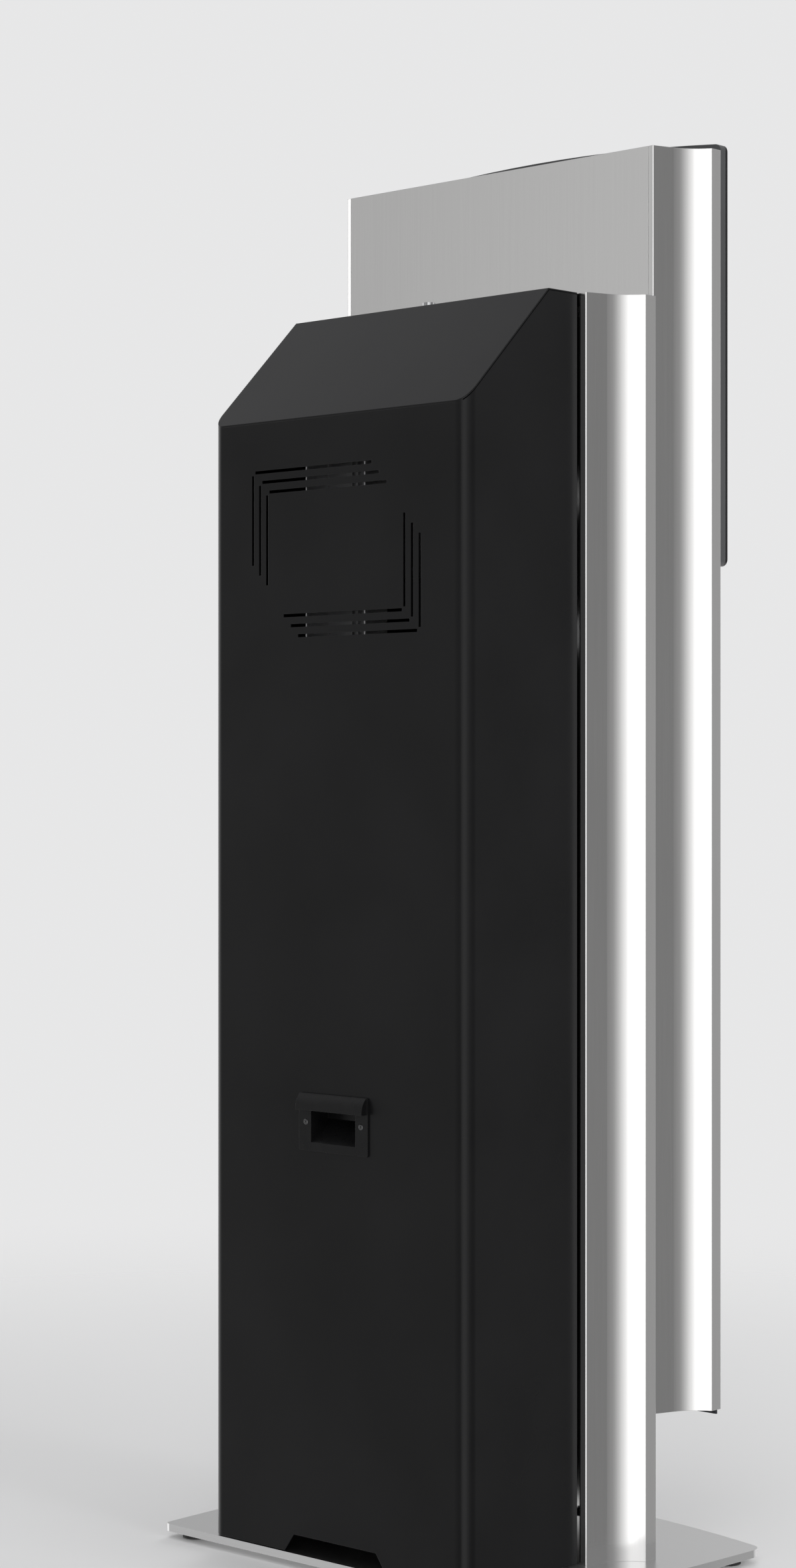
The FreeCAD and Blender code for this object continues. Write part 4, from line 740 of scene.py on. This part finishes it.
def make_terminal():
    """Frame, small screen, keypad and lit slot of the card terminal."""
    low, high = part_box("card_terminal")
    face = low.y
    middle = (low.x + high.x) / 2
    columns, rows = 3, 4
    key_pitch_x, key_pitch_z = 0.0205, 0.0125
    key_height = 0.0016
    form = bmesh.new()
    add_ring(form, margin(low, high, 0.004, 0.008), margin(low, high, -0.0005, 0.002),
             face + 0.0035, face + 0.0052)
    build("terminal_frame", form, tray_steel, "stand", 0.0005)
    form = bmesh.new()
    add_prism(form, square(middle, high.z - 0.021, 0.031, 0.013, 0.0025), face - 0.0006, face)
    build("terminal_screen", form, glow_white, "stand", 0.0002)
    keys, marks = bmesh.new(), bmesh.new()
    for row in range(rows):
        for column in range(columns):
            x = middle + (column - 1) * key_pitch_x
            z = high.z - 0.045 - row * key_pitch_z
            add_prism(keys, square(x, z, 0.008, 0.0042, 0.002), face - key_height, face)
            if (row, column) == (1, 1):
                add_prism(marks, circle((x, z), 0.0009), face - 0.0019, face - key_height)
    build("terminal_keys", keys, key_plastic, "stand", 0.0005)
    build("terminal_key_mark", marks, white_mark, "stand")
    form = bmesh.new()
    slot_z = low.z + 0.0155
    half = (high.x - low.x) / 2
    add_ring(form, square(middle, slot_z, half - 0.009, 0.005, 0.004),
             square(middle, slot_z, half - 0.0125, 0.0018, 0.0015), face - 0.0022, face)
    build("card_slot_lip", form, glow_green, "stand", 0.0005)


def make_coin_parts():
    """Slot lip, guide lights and button collar on the coin bezel."""
    low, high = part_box("coin_bezel")
    face = low.y
    middle = (low.x + high.x) / 2
    slot_z = high.z - 0.034
    form = bmesh.new()
    add_ring(form, square(middle, slot_z, 0.0075, 0.0205, 0.006),
             square(middle, slot_z, 0.0022, 0.0152, 0.001), face - 0.002, face)
    build("coin_slot_lip", form, chrome, "stand", 0.0007, 3)
    form = bmesh.new()
    for x in (middle - 0.018, middle + 0.018):
        add_prism(form, square(x, slot_z, 0.0015, 0.014, 0.0012), face - 0.0008, face)
    build("coin_lights", form, glow_green, "stand")
    button_low, button_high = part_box("coin_button")
    centre = (middle, face, (button_low.z + button_high.z) / 2)
    collar = [(0.0079, 0.0), (0.0079, -0.0012), (0.0088, -0.0018), (0.0102, -0.0014), (0.0106, 0.0),
              (0.0079, 0.0)]
    form = bmesh.new()
    add_turned(form, centre, collar)
    build("coin_button_collar", form, dark_chrome, "stand", 0.0002)


def make_trims():
    """Scanner frame and lamps, help button ring, tray light and the printed signs."""
    panel_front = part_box("tower_front_panel")[0].y
    low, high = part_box("scanner_window")
    form = bmesh.new()
    add_ring(form, margin(low, high, 0.007, 0.008), margin(low, high, -0.002, 0.004),
             panel_front - 0.0022, panel_front)
    build("scanner_frame", form, dark_plastic, "stand", 0.0006, 3)
    form = bmesh.new()
    lamp = (low.x + 0.012, high.x - 0.012)
    for shift in (-0.019, 0.019):
        z = (low.z + high.z) / 2 + shift
        add_prism(form, rounded(lamp, (z - 0.0015, z + 0.0015), 0.001), high.y + 0.004, high.y + 0.006)
    build("scanner_lamps", form, glow_red, "stand")
    button_low, button_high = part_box("help_button")
    centre = ((button_low.x + button_high.x) / 2, panel_front, (button_low.z + button_high.z) / 2)
    ring = [(0.0119, 0.0), (0.0119, -0.0016), (0.0128, -0.0024), (0.0158, -0.0018), (0.0164, 0.0),
            (0.0119, 0.0)]
    form = bmesh.new()
    add_turned(form, centre, ring)
    build("help_button_ring", form, glow_white, "stand", 0.0003)
    tray_low, tray_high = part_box("ticket_tray")
    light_x = (tray_low.x + 0.03, tray_high.x - 0.03)
    light_z = (tray_high.z - 0.0065, tray_high.z - 0.0035)
    form = bmesh.new()
    add_prism(form, rounded(light_x, light_z, 0.001), tray_low.y - 0.0006, tray_low.y)
    build("ticket_tray_light", form, glow_green, "stand")
    near, far = panel_front - PRINT, panel_front
    coin = (0.12, 0.692)
    marks = bmesh.new()
    draw_sign(marks, tray_low.x + 0.03, tray_high.z + 0.028, 0, near, far)
    add_ring(marks, circle(coin, 0.011), circle(coin, 0.009), near, far)
    add_ring(marks, circle(coin, 0.0065), circle(coin, 0.0052), near, far)
    draw_sign(marks, -0.12, 0.945, 4, near, far)
    build("panel_signs", marks, white_mark, "stand")


make_handle_screws()
make_feet()
make_screen()
make_terminal()
make_coin_parts()
make_trims()
picture_low, picture_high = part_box("picture_panel")
dress(window_glass("display_glass", picture_low, picture_high, -0.0005), "display_glass")
scan_low, scan_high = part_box("scanner_window")
dress(window_glass("scanner_glass", scan_low, scan_high, 0.004), "scanner_window")
